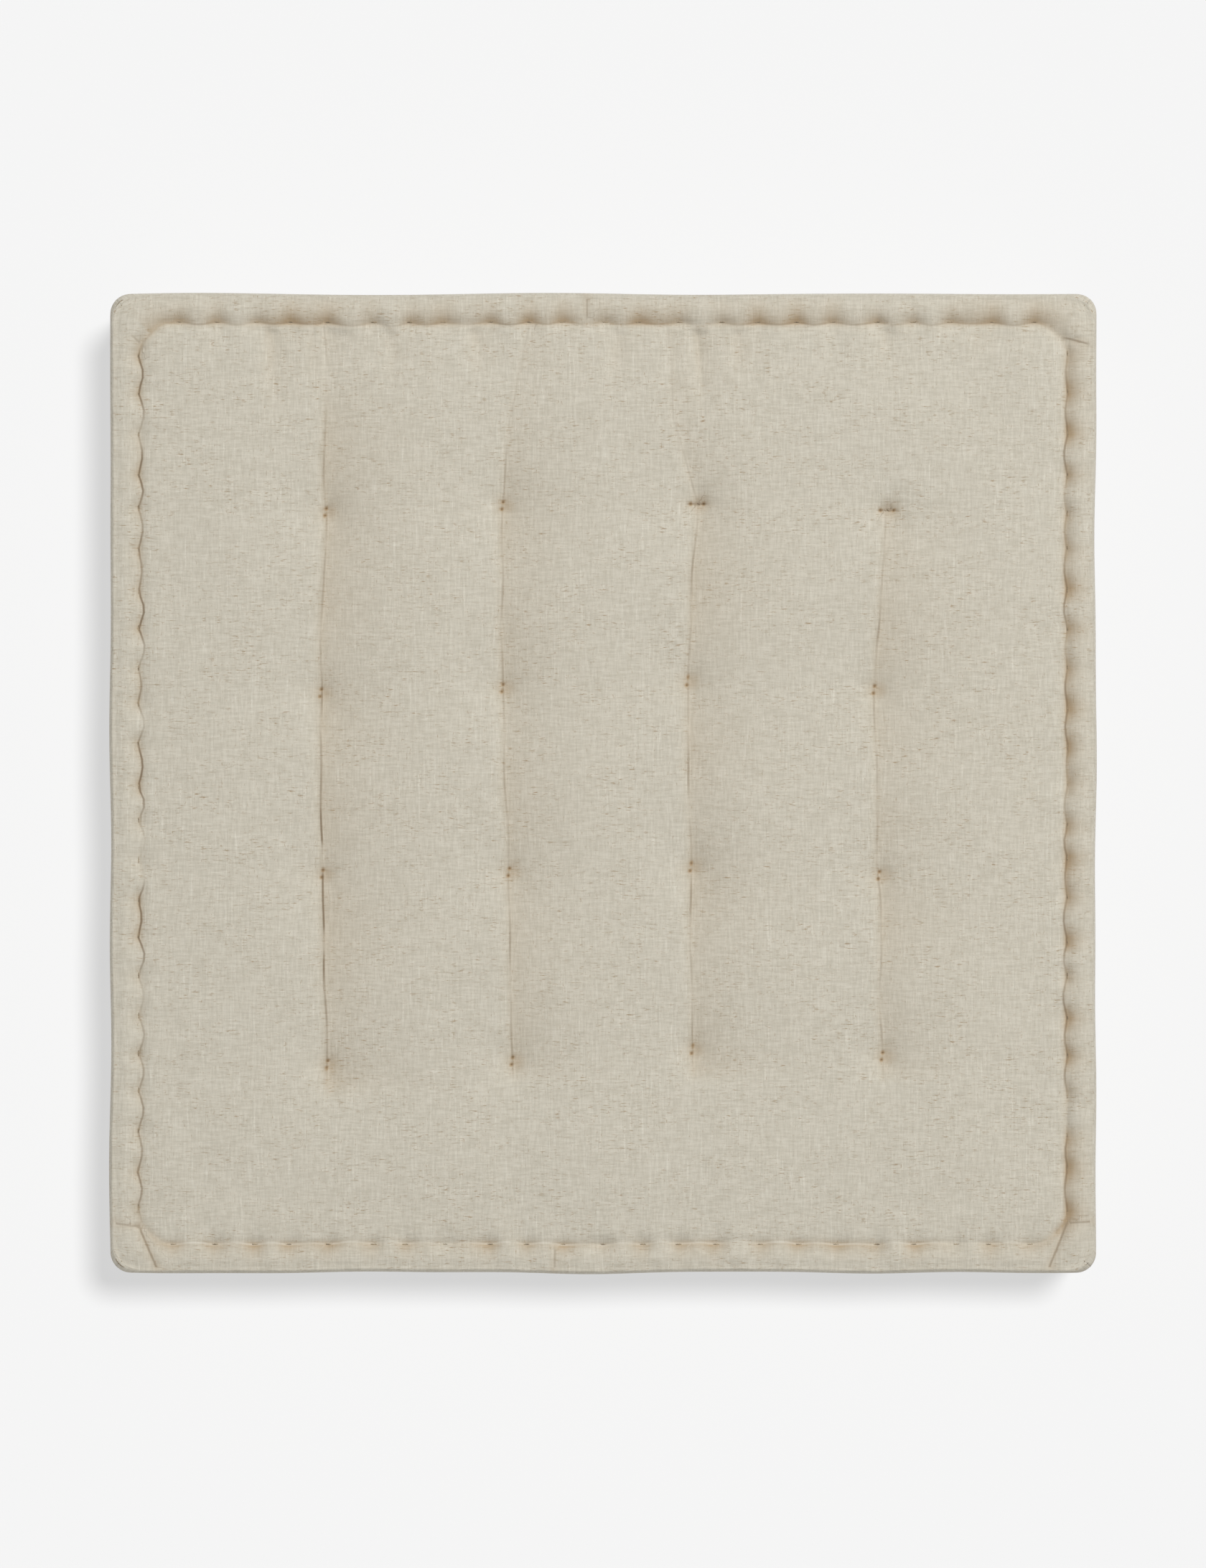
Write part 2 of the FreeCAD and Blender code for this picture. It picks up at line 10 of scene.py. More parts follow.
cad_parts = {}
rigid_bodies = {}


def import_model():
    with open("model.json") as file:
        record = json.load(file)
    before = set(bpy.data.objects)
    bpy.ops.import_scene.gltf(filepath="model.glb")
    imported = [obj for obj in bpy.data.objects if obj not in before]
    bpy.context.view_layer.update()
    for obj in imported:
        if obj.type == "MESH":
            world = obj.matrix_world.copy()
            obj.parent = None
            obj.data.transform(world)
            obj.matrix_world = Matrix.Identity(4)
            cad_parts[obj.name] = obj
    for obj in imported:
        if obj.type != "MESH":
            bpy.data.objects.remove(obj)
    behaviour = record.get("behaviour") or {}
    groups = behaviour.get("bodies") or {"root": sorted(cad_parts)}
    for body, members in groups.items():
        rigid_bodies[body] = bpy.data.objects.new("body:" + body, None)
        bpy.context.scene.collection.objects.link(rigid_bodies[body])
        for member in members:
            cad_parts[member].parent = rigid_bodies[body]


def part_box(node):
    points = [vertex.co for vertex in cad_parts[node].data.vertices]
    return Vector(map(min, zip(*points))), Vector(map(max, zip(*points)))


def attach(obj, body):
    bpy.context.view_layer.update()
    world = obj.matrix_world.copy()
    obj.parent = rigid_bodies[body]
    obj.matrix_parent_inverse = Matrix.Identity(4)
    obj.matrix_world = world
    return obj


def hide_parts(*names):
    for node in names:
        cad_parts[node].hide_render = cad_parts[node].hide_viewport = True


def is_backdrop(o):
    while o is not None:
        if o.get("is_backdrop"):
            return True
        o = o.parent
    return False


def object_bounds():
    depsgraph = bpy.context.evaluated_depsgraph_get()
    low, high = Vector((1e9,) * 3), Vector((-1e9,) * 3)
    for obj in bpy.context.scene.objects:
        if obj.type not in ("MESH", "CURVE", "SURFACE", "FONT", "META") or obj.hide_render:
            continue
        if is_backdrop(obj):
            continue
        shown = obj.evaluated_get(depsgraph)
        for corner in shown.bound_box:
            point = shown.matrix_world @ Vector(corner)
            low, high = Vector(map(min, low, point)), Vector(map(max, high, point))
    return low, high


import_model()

bl_info = {
    "name": "Tufted floor cushion",
    "version": (1, 0, 0),
    "blender": (4, 5, 0),
    "location": "3D View > Sidebar > Cushion",
    "description": "Sews, fills and tufts a square linen floor cushion with rolled edges",
    "category": "Object",
}

# ---- Sizes, in metres, read from the frame ----

MM = 0.001
CAD_LOW, CAD_HIGH = (Vector(corner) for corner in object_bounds())
HALF_WIDTH = CAD_HIGH.x
HALF_DEPTH = CAD_HIGH.y
HEIGHT = CAD_HIGH.z
SEAM_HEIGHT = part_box("band_front")[1].z
SEAM_INSET = HALF_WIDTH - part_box("top_panel")[1].x
SIDES = ("front", "right", "back", "left")
OUTWARD = {"front": (0, -1), "right": (1, 0), "back": (0, 1), "left": (-1, 0)}
# Turned over, the right and left sides have changed places.
PARTNER = {"front": "front", "right": "left", "back": "back", "left": "right"}
# The order of the materials that mark a half of the cover while it is one mesh.
PANEL_AND_SIDES = ("panel", *SIDES)
ROWS = COLUMNS = range(4)
# The ties are pulled through by hand, so each tuft is a few millimetres off its grid: how
# far right and how far back, in millimetres, by row from the back and by column.
TUFT_DRIFT = (
    ((0, -3), (-5, 1), (1, 2), (4, -2)),
    ((-3, -1), (-5, 2), (-5, 6), (-4, 1)),
    ((-2, 1), (-1, 2), (-3, 5), (-1, 0)),
    ((1, -3), (1, -1), (-2, 6), (1, 2)),
)


def tuft_places():
    """Where each tie comes up through the top panel, as {(row, column): (x, y)}."""
    places = {}
    for row in ROWS:
        for column in COLUMNS:
            low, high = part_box(f"tuft_tie_row{row + 1}_col{column + 1}")
            right, back = TUFT_DRIFT[row][column]
            middle = (low + high) / 2
            places[row, column] = (middle.x + right * MM, middle.y + back * MM)
    return places


TUFTS = tuft_places()
# Most tacks run along the crease. Two at the back of the right-hand columns run across it.
CROSSWISE = ((0, 2), (0, 3))


def tack(place):
    """From the middle of a tuft to the first of its two needle holes."""
    return (4.0 * MM, 0.0) if place in CROSSWISE else (0.4 * MM, 2.2 * MM)


def from_tufts(x, y):
    """How far points are from the nearest tuft, seen from above."""
    return np.min([np.hypot(x - right, y - back) for right, back in TUFTS.values()], axis=0)


class CushionSizes(bpy.types.PropertyGroup):
    """Sizes that shape the rolled edges, the pillows and the tufts."""

    stitch_pitch: bpy.props.FloatProperty(
        name="Stitch pitch", description="From one stitch of a rolled edge to the next",
        default=24 * MM, min=5 * MM, subtype="DISTANCE", unit="LENGTH")
    roll_width: bpy.props.FloatProperty(
        name="Roll width", description="From the outline to the groove, at a stitch",
        default=17.6 * MM, min=5 * MM, subtype="DISTANCE", unit="LENGTH")
    roll_bulge: bpy.props.FloatProperty(
        name="Roll bulge", description="How much wider the roll is between two stitches",
        default=3.8 * MM, min=0, subtype="DISTANCE", unit="LENGTH")
    roll_crest: bpy.props.FloatProperty(
        name="Roll crest", description="How far the roll's crest lies under the cushion's top",
        default=2.4 * MM, min=0, subtype="DISTANCE", unit="LENGTH")
    groove_floor: bpy.props.FloatProperty(
        name="Groove floor", description="How far a stitch pulls the groove under the cushion's top",
        default=8.4 * MM, min=0, subtype="DISTANCE", unit="LENGTH")
    side_groove: bpy.props.FloatProperty(
        name="Band groove", description="How far the stitches pull the band in",
        default=4.2 * MM, min=0, subtype="DISTANCE", unit="LENGTH")
    tuft_depth: bpy.props.FloatProperty(
        name="Tuft depth", description="How far a tie pulls the panel down",
        default=3.6 * MM, min=0, subtype="DISTANCE", unit="LENGTH")
    crease_depth: bpy.props.FloatProperty(
        name="Crease depth", description="How deep the crease along a column of tufts is",
        default=3.8 * MM, min=0, subtype="DISTANCE", unit="LENGTH")
    cloth: bpy.props.FloatProperty(
        name="Cloth", description="Thickness of the linen",
        default=1.2 * MM, min=0.2 * MM, subtype="DISTANCE", unit="LENGTH")


class CushionColours(bpy.types.PropertyGroup):
    """Colours, as sRGB hex values."""

    linen: bpy.props.StringProperty(
        name="Linen", description="Ground colour of the cover", default="#D2CCBD")
    fleck: bpy.props.StringProperty(
        name="Fleck", description="Coarse darker fibres in the yarn", default="#967A54")
    slub: bpy.props.StringProperty(
        name="Slub", description="Thick pale stretches of yarn", default="#E6E2D5")
    # Painted shade: a darker colour that stands in for the shade deep in tucks, grooves and creases.
    tuck_shade: bpy.props.StringProperty(
        name="Tuck", description="The cloth's colour deep in a tuck", default="#B29A79")
    # Painted shade: a dark colour that stands in for the shade in fold lines and needle holes.
    fold_and_hole_shade: bpy.props.StringProperty(
        name="Fold line", description="The cloth's colour where it is shut in a fold or a hole",
        default="#75624A")
    twine: bpy.props.StringProperty(
        name="Twine", description="Waxed twine of the tufts", default="#B3A287")
    thread: bpy.props.StringProperty(
        name="Thread", description="Linen thread of the rolled edges", default="#B5A58A")
    floor: bpy.props.StringProperty(
        name="Floor", description="Studio floor", default="#585858")


# ---- Small helpers ----


def linear(colour):
    """An sRGB hex colour as linear red, green, blue and alpha."""
    parts = [int(colour[start:start + 2], 16) / 255 for start in (1, 3, 5)]
    return [c / 12.92 if c <= 0.04045 else ((c + 0.055) / 1.055) ** 2.4 for c in parts] + [1.0]


def darker(colour, share):
    """An sRGB hex colour made linear, with only a share of its light left."""
    return [share * part for part in linear(colour)[:3]] + [1]


def settle():
    """Back to object mode with nothing selected."""
    if bpy.context.object and bpy.context.object.mode != "OBJECT":
        bpy.ops.object.mode_set(mode="OBJECT")
    bpy.ops.object.select_all(action="DESELECT")


def choose(*pieces):
    """Selects these pieces only. The last one is the active one."""
    settle()
    for piece in pieces:
        piece.select_set(True)
    bpy.context.view_layer.objects.active = pieces[-1]


def edit(piece, kind="FACE", wanted=None):
    """Into edit mode, with everything selected or only the edges or faces that are wanted."""
    choose(piece)
    bpy.ops.object.mode_set(mode="EDIT")
    bpy.ops.mesh.select_mode(type=kind)
    bpy.ops.mesh.select_all(action="DESELECT" if wanted else "SELECT")
    if wanted:
        mesh = bmesh.from_edit_mesh(piece.data)
        for part in mesh.edges if kind == "EDGE" else mesh.faces:
            if wanted(part):
                part.select_set(True)
        bmesh.update_edit_mesh(piece.data)


def face_outwards(piece, merge=0):
    """Turns all faces outwards, after joining points that are less than a distance apart."""
    edit(piece)
    if merge:
        bpy.ops.mesh.remove_doubles(threshold=merge)
    bpy.ops.mesh.normals_make_consistent(inside=False)
    bpy.ops.object.mode_set(mode="OBJECT")


def read(items, name, kind, width=1):
    """One property of all items, such as the vertices of a mesh, as an array."""
    values = np.empty(width * len(items), dtype=kind)
    items.foreach_get(name, values)
    return values


def points_of(piece):
    """The piece's vertices as an array with a row for each."""
    return read(piece.data.vertices, "co", np.float64, 3).reshape(-1, 3)


def set_points(piece, points):
    piece.data.vertices.foreach_set("co", np.ascontiguousarray(points, dtype=np.float64).ravel())
    piece.data.update()


def finish_modifier(piece, name):
    choose(piece)
    bpy.ops.object.modifier_apply(modifier=name)


def smooth_step(low, high, values):
    """0 up to low, 1 from high on, and smooth between."""
    ratio = np.clip((values - low) / (high - low), 0, 1)
    return ratio * ratio * (3 - 2 * ratio)


def bump(values, width):
    """A soft bump that is 1 at zero and fades over a width."""
    return np.exp(-((values / width) ** 2))


def wander(along, seed, wavelength, waves=6):
    """A smooth, irregular line between about -1 and 1, the same each time for a seed."""
    chance = np.random.default_rng(seed)
    total = np.zeros_like(along)
    for _ in range(waves):
        length = wavelength * chance.uniform(0.6, 1.8)
        total += np.sin(2 * math.pi * (along / length + chance.uniform()))
    return total / math.sqrt(waves)


def ripple(across, deep, seed, wavelength, waves=14):
    """A smooth, irregular surface between about -1 and 1, the same each time for a seed."""
    chance = np.random.default_rng(seed)
    total = np.zeros_like(across)
    for _ in range(waves):
        angle = chance.uniform(0, math.pi)
        length = wavelength * chance.uniform(0.6, 1.7)
        run = across * math.cos(angle) + deep * math.sin(angle)
        total += np.sin(2 * math.pi * (run / length + chance.uniform()))
    return total / math.sqrt(waves)


# ---- The sewn cover ----

# Each half of the cover is a grid of cloth, with the lines of its weave crowded together
# where it is stitched or creased. Counts are (first cuts, second cuts), which multiply.
ACROSS_CUTS = (18, 12)
DEEP_CUTS = (18, 9)
BAND_CUTS = (16,)
UPRIGHT_RADIUS = 12 * MM
# From the outline to where a row of stitches starts, at either end.
STITCH_MARGIN = 32 * MM
# The panels' corners are cut rounder than the cushion's, so the bands fold in over them.
PANEL_CORNER = 19 * MM
# The roll is widest at its shoulder's middle, and the band is pulled in under it.
WIDEST = HEIGHT - 8.5 * MM
BAND_GROOVE = HEIGHT - 21 * MM


def line_spacing(place, axis, plain, fine):
    """How far apart the lines of a panel's weave are drawn, along an axis. They are close
    together in the groove behind the roll, and fine at each tuft."""
    inward = CAD_HIGH[axis] - np.abs(place)
    edge = np.where(inward < 13 * MM, 2.6, np.where(inward < 25 * MM, 1.3, 3.2))
    space = np.where(inward < 40 * MM, edge, plain)
    for number in ROWS:
        low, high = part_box(f"tuft_tie_row{number + 1}_col{number + 1}")
        middle = (low[axis] + high[axis]) / 2
        space = np.where(np.abs(place - middle) < 7 * MM, fine, space)
    return space


def crowded_lines(axis, count, plain, fine):
    """Positions across the whole cushion, as far apart as their spacing says at each place."""
    place = np.linspace(-CAD_HIGH[axis], CAD_HIGH[axis], 6001)
    crowd = np.cumsum(1 / line_spacing(place, axis, plain, fine))
    crowd = (crowd - crowd[0]) / (crowd[-1] - crowd[0])
    return np.interp(np.linspace(0, 1, count + 1), crowd, place)


def stitch_line(side, pitch):
    """Where the stitches of one side's rolled edge are, along that side. Sewn by hand, so
    each is a little off its mark."""
    half = HALF_WIDTH if side in ("front", "back") else HALF_DEPTH
    count = int((2 * (half - STITCH_MARGIN)) // pitch)
    marks = (np.arange(count + 1) - count / 2) * pitch
    chance = np.random.default_rng(11 + SIDES.index(side))
    return marks + chance.uniform(-2.6, 2.6, count + 1) * MM


def between_stitches(along, marks, seed):
    """0 at each stitch, rising to about 1 half-way to the next, and 0.3 past the last."""
    chance = np.random.default_rng(seed)
    puff = chance.uniform(0.5, 1.15, len(marks))
    index = np.clip(np.searchsorted(marks, along) - 1, 0, len(marks) - 2)
    share = (along - marks[index]) / (marks[index + 1] - marks[index])
    share = np.clip(share, 0, 1)
    arch = (0.45 * 4 * share * (1 - share) + 0.55 * np.sin(math.pi * share) ** 2) * puff[index]
    outside = (along < marks[0]) | (along > marks[-1])
    past = np.maximum(marks[0] - along, along - marks[-1])
    return np.where(outside, 0.3 * smooth_step(0, 6 * MM, past), arch)


def block(low, high, cuts=()):
    """A box between two corners, cut into a grid: how often along each axis."""
    settle()
    bpy.ops.mesh.primitive_cube_add(size=1, location=(low + high) / 2)
    piece = bpy.context.object
    piece.scale = high - low
    bpy.ops.object.transform_apply(location=True, rotation=True, scale=True)
    for axis, counts in enumerate(cuts):
        cut_edges(piece, axis, counts)
    return piece


def runs_along(edge, axis):
    run = edge.verts[1].co - edge.verts[0].co
    return abs(run[axis]) > 0.99 * run.length


def cut_edges(piece, axis, counts):
    """Cuts every edge that runs along an axis into equal parts, once for each count."""
    for count in counts:
        edit(piece, "EDGE", lambda edge: runs_along(edge, axis))
        bpy.ops.mesh.subdivide(number_cuts=count - 1)
        bpy.ops.object.mode_set(mode="OBJECT")


def blank_half():
    """The top half of the cushion as a box of cloth, open underneath: a material index for
    each side, 0 for the panel and 1 to 4 for the bands."""
    piece = block(Vector((-HALF_WIDTH, -HALF_DEPTH, HEIGHT / 2)), CAD_HIGH)
    edit(piece, "FACE", lambda face: face.normal.z < -0.5)
    bpy.ops.mesh.delete(type="FACE")
    bpy.ops.object.mode_set(mode="OBJECT")
    cut_edges(piece, 2, BAND_CUTS)
    cut_edges(piece, 0, ACROSS_CUTS)
    cut_edges(piece, 1, DEEP_CUTS)
    for _ in PANEL_AND_SIDES:
        piece.data.materials.append(None)
    for face in piece.data.polygons:
        if face.normal.z < 0.5:
            side = max(SIDES, key=lambda side: face.normal.xy.dot(Vector(OUTWARD[side])))
            face.material_index = PANEL_AND_SIDES.index(side)
    return piece


def round_corners(x, y, half_x, half_y, radius):
    """Moves points of a sharp rectangle so that its outline has round corners."""
    u = (np.abs(x) - (half_x - radius)) / radius
    v = (np.abs(y) - (half_y - radius)) / radius
    corner = (u > 0) & (v > 0)
    round_u = np.where(corner, u * np.sqrt(np.clip(1 - v * v / 2, 0, 1)), u)
    round_v = np.where(corner, v * np.sqrt(np.clip(1 - u * u / 2, 0, 1)), v)
    across = np.sign(x) * (half_x - radius + round_u * radius)
    deep = np.sign(y) * (half_y - radius + round_v * radius)
    return np.where(corner, across, x), np.where(corner, deep, y)


def from_outline(x, y):
    """How far points lie inside the cushion's outline, seen from above."""
    out_x = np.abs(x) - (HALF_WIDTH - UPRIGHT_RADIUS)
    out_y = np.abs(y) - (HALF_DEPTH - UPRIGHT_RADIUS)
    beyond = np.hypot(np.maximum(out_x, 0), np.maximum(out_y, 0))
    return UPRIGHT_RADIUS - beyond - np.minimum(np.maximum(out_x, out_y), 0)


def groove_distance(x, y, sizes):
    """How far points lie outside the groove behind the roll (negative inside it), and how
    far between two stitches they are. The groove cuts straight across the corners."""
    front, right, back, left = (
        between_stitches(along, stitch_line(side, sizes.stitch_pitch), 21 + number)
        for number, (side, along) in enumerate(zip(SIDES, (x, y, x, y))))
    by_y, by_x = np.where(x > 0, right, left), np.where(y > 0, back, front)
    corner_cut = 15 * MM
    bulge = sizes.roll_bulge * np.where(x > 0, 0.6, 1)
    reach_x = np.abs(x) - (HALF_WIDTH - sizes.roll_width - bulge * by_y)
    bulge = sizes.roll_bulge * np.where(y > 0, 0.55, 0.4)
    reach_y = np.abs(y) - (HALF_DEPTH - sizes.roll_width - bulge * by_x)
    diagonal = HALF_WIDTH + HALF_DEPTH - 2 * sizes.roll_width - corner_cut
    reach_corner = (np.abs(x) + np.abs(y) - diagonal) / math.sqrt(2)
    softness = 1.4 * MM
    reaches = np.stack([reach_x, reach_y, reach_corner]) / softness
    top = reaches.max(axis=0)
    weights = np.exp(reaches - top)
    distance = softness * (top + np.log(weights.sum(axis=0)))
    weights /= weights.sum(axis=0)
    between = weights[0] * by_y + weights[1] * by_x + weights[2] * 0.45
    return distance, between


def form_panel(x, y, sizes):
    """Height of the top panel before it is filled: the rolled rim, which drops to the groove
    at every stitch, and a low dome that rises again close behind the groove."""
    outline = np.maximum(from_outline(x, y), 0)
    distance, between = groove_distance(x, y, sizes)
    crest = HEIGHT - sizes.roll_crest - 0.9 * MM * (1 - between)
    floor = HEIGHT - sizes.groove_floor + 4.2 * MM * between
    share = outline / np.maximum(outline + np.maximum(distance, 0), 1e-6)
    outer = np.clip(1 - (2 * share - 1) ** 2, 0, 1) ** 0.55
    inner = 1 - np.clip(2 * share - 1, 0, 1) ** 2.1
    rim = np.where(share < 0.5, WIDEST + (crest - WIDEST) * outer, floor + (crest - floor) * inner)
    dome = (1 - (x / HALF_WIDTH) ** 4) * (1 - (y / HALF_DEPTH) ** 4)
    plateau = HEIGHT - 4.4 * MM + 2.0 * MM * dome
    fade = 1.7 * MM + 2.6 * MM * (1 - between)
    field = floor + (plateau - floor) * (1 - np.exp(np.minimum(distance, 0) / fade))
    height = np.where(distance > 0, rim, field)
    return height - sizes.tuft_depth * bump(from_tufts(x, y), 16 * MM)


def band_inset(up, between, sizes):
    """How far the band lies inside the outline at a height: the roll's outer shoulder, the
    groove where the stitches come out, and a flat face below."""
    pull = sizes.side_groove - 1.2 * MM * between
    shoulder = SEAM_INSET * ((up - WIDEST) / (SEAM_HEIGHT - WIDEST)) ** 2
    under = np.clip((WIDEST - up) / (WIDEST - BAND_GROOVE), 0, 1)
    roll = pull * (1 - np.sqrt(1 - under**2))
    slack = 0.6 * MM
    face = slack + (pull - slack) * np.exp(-np.maximum(BAND_GROOVE - up, 0) / (4.5 * MM))
    return np.where(up > WIDEST, shoulder, np.where(up > BAND_GROOVE, roll, face))


def corner_radius(up, inset):
    """Radius of the upright corners at a height: it grows from the roll's widest line to
    the panel's rounder corner."""
    rise = np.clip((up - WIDEST) / (SEAM_HEIGHT - WIDEST), 0, 1)
    return UPRIGHT_RADIUS - inset + (PANEL_CORNER - UPRIGHT_RADIUS) * rise**2


def form_half(piece, sizes):
    """Shapes the box of cloth into half a cushion, and returns where each point is on the
    flat cloth: across, deep and up, with the crowded lines spread as they are woven."""
    box = points_of(piece)
    nx, ny, nz = (math.prod(cuts) for cuts in (ACROSS_CUTS, DEEP_CUTS, BAND_CUTS))
    lines_x = crowded_lines(0, nx, 3.4, 1.5)
    lines_y = crowded_lines(1, ny, 5.0, 1.8)
    # The band has six coarse lines, and the rest lie close together from under its groove up.
    coarse, under_groove = 6, BAND_GROOVE - 6 * MM
    lines_z = np.concatenate([
        np.linspace(HEIGHT / 2, under_groove, coarse + 1)[:-1],
        np.linspace(under_groove, SEAM_HEIGHT, nz - coarse + 1)])
    index_x = np.rint((box[:, 0] / HALF_WIDTH + 1) / 2 * nx).astype(int)
    index_y = np.rint((box[:, 1] / HALF_DEPTH + 1) / 2 * ny).astype(int)
    index_z = np.rint((box[:, 2] / HEIGHT - 0.5) * 2 * nz).astype(int)
    x, y, up = lines_x[index_x], lines_y[index_y], lines_z[index_z]
    on_band = index_z < nz
    flat = np.stack([x, y, up], axis=1)

    _, between = groove_distance(x, y, sizes)
    inset = np.where(on_band, band_inset(up, between, sizes), SEAM_INSET)
    half_x, half_y = HALF_WIDTH - inset, HALF_DEPTH - inset
    across, deep = x * half_x / HALF_WIDTH, y * half_y / HALF_DEPTH
    radius = corner_radius(np.where(on_band, up, SEAM_HEIGHT), inset)
    across, deep = round_corners(across, deep, half_x, half_y, radius)
    height = np.where(on_band, up, form_panel(across, deep, sizes))
    edge = (index_x % nx == 0) | (index_y % ny == 0)
    height = np.where(edge & ~on_band, SEAM_HEIGHT, height)
    set_points(piece, np.stack([across, deep, height], axis=1))
    return flat


def fill_with_pressure(piece, sizes):
    """Inflates half a cushion as cloth. It is held at the ties, at every stitch of the
    rolled edges and round the middle of the bands, and the rest swells between them."""
    start = points_of(piece)
    x, y, up = start.T
    distance, between = groove_distance(x, y, sizes)
    held = np.zeros(len(start))
    stitched = between < 0.34
    held[(np.abs(distance) < 2.2 * MM) & stitched & (up > SEAM_HEIGHT - 8 * MM)] = 1
    held[(np.abs(up - BAND_GROOVE) < 2 * MM) & stitched] = 1
    held[np.abs(up - SEAM_HEIGHT) < 0.1 * MM] = 0.9
    held[from_tufts(x, y) < 4 * MM] = 1
    held[up < HEIGHT / 2 + 1 * MM] = 1
    group = piece.vertex_groups.new(name="held")
    for weight in (0.9, 1.0):
        group.add(np.flatnonzero(held == weight).tolist(), weight, "REPLACE")

    cloth = piece.modifiers.new("Cloth", "CLOTH")
    settings = cloth.settings
    settings.quality = 4
    settings.mass = 0.25
    settings.tension_stiffness = 12
    settings.compression_stiffness = 8
    settings.shear_stiffness = 4
    settings.bending_stiffness = 0.3
    settings.vertex_group_mass = group.name
    settings.use_pressure = True
    settings.uniform_pressure_force = 4
    settings.effector_weights.gravity = 0
    cloth.collision_settings.use_collision = False
    last_frame = 20
    cloth.point_cache.frame_start = 1
    cloth.point_cache.frame_end = last_frame
    for number in range(1, last_frame + 1):
        bpy.context.scene.frame_set(number)
    finish_modifier(piece, cloth.name)
    bpy.context.scene.frame_set(1)
    moved = points_of(piece) - start
    length = np.linalg.norm(moved, axis=1, keepdims=True)
    most = 4.0 * MM
    set_points(piece, start + moved * np.minimum(1, most / np.maximum(length, 1e-9)))


def crease_line(y, column):
    """Where the crease of one column of tufts runs. The middle two drift to the right as they
    run on to the back edge."""
    rows = [TUFTS[row, column] for row in (3, 2, 1, 0)]
    along, across = [place[1] for place in rows], [place[0] for place in rows]
    if column in (1, 2):
        along += [225 * MM, 286 * MM]
        across += [(-58 * MM, -44.5 * MM), (44.5 * MM, 40 * MM)][column - 1]
    return np.interp(y, along, across) + 0.6 * MM * wander(y, 40 + column, 70 * MM)


def crease_strength(y, column):
    """How strong the crease of one column is along its length, from 0 to about 1."""
    back_end = (288, 288, 288, 178)[column] * MM
    front_end = (-195, -187, -186, -186)[column] * MM
    fade_back = smooth_step(0, (90, 130, 150, 25)[column] * MM, back_end - y)
    fade_back = np.maximum(fade_back, 0.35 * smooth_step(0, 8 * MM, back_end - y))
    fade_front = smooth_step(0, 10 * MM, y - front_end)
    return fade_back * fade_front * (1 + 0.22 * wander(y, 50 + column, 90 * MM))


def crease(x, y, column, sizes):
    """Depth of the crease along one column of tufts: a step on its left, slow on its right."""
    off = x - crease_line(y, column)
    steep, slow = 2.2 * MM, 24 * MM
    depth = (1.2, 0.95, 1.0, 0.9)[column] * sizes.crease_depth * crease_strength(y, column)
    return depth * np.where(off < 0, np.exp(off / steep), np.exp(-off / slow))


# Folds that the sewing leaves across the rolled edges, in millimetres: where each starts
# and ends, and its depth. Three corners are folded over, and the rims have two joins.
FOLDS = (
    ((-304, -272), (-287, -274), 1.6),
    ((-287, -274), (-276, -300), 2.0),
    ((303, -271), (287, -272), 1.5),
    ((287, -272), (276, -299), 1.9),
    ((285, 276), (299, 272), 2.0),
    ((-290, 276), (-284, 270), 1.2),
    ((-9.8, 303), (-9.8, 288), 1.3),
    ((-29.8, -303), (-29.8, -288), 1.2),
    # Under the two crosswise tacks.
    ((53.5, 173), (62.5, 173), 2.2),
    ((171.5, 169), (180.5, 169), 2.2),
)
# Gathers that run in from the back edge, in millimetres: where each starts, how far it
# drifts to the right and how far it runs before it has faded out, its depth and its width.
GATHERS = (
    (-207, 3, 70, 4.2, 4),
    (-181, 6, 60, 2.4, 5),
    (-133, 4, 50, 2.4, 5),
    (-81, 6, 42, 3.4, 4),
    (9, -3, 52, 2.6, 5),
    (57, 6, 66, 4.2, 5),
    (82, 2, 44, 3.4, 4),
    (175, -2, 34, 2.2, 5),
    (231, 0, 32, 2.0, 5),
)


def beside_fold(x, y, start, end):
    """How far points lie to the side of a fold (signed), and how far from it in all."""
    start, end = np.array(start) * MM, np.array(end) * MM
    run = (end - start) / np.hypot(*(end - start))
    share = (x - start[0]) * run[0] + (y - start[1]) * run[1]
    aside = (x - start[0]) * run[1] - (y - start[1]) * run[0]
    past = np.maximum(np.maximum(-share, share - np.hypot(*(end - start))), 0)
    return aside, np.hypot(aside, past)


def folds(x, y):
    """Depth of the folds across the rolled edges."""
    total = np.zeros_like(x)
    for start, end, depth in FOLDS:
        away = beside_fold(x, y, start, end)[1]
        total = np.maximum(total, depth * MM * np.exp(-away / (2.0 * MM)))
    return total


def gathers(x, y, sizes):
    """Depth of the gathers along the back edge: steep on the left, slower on the right."""
    inward = np.maximum(HALF_DEPTH - sizes.roll_width - y, 0)
    total = np.zeros_like(x)
    for start, drift, reach, depth, width in GATHERS:
        off = x - (start + drift * inward / (reach * MM)) * MM
        side = np.where(off < 0, np.exp(off / (0.6 * width * MM)), np.exp(-off / (2 * width * MM)))
        total += depth * MM * side * (1 - smooth_step(0.2, 1, inward / (reach * MM)))
    return total


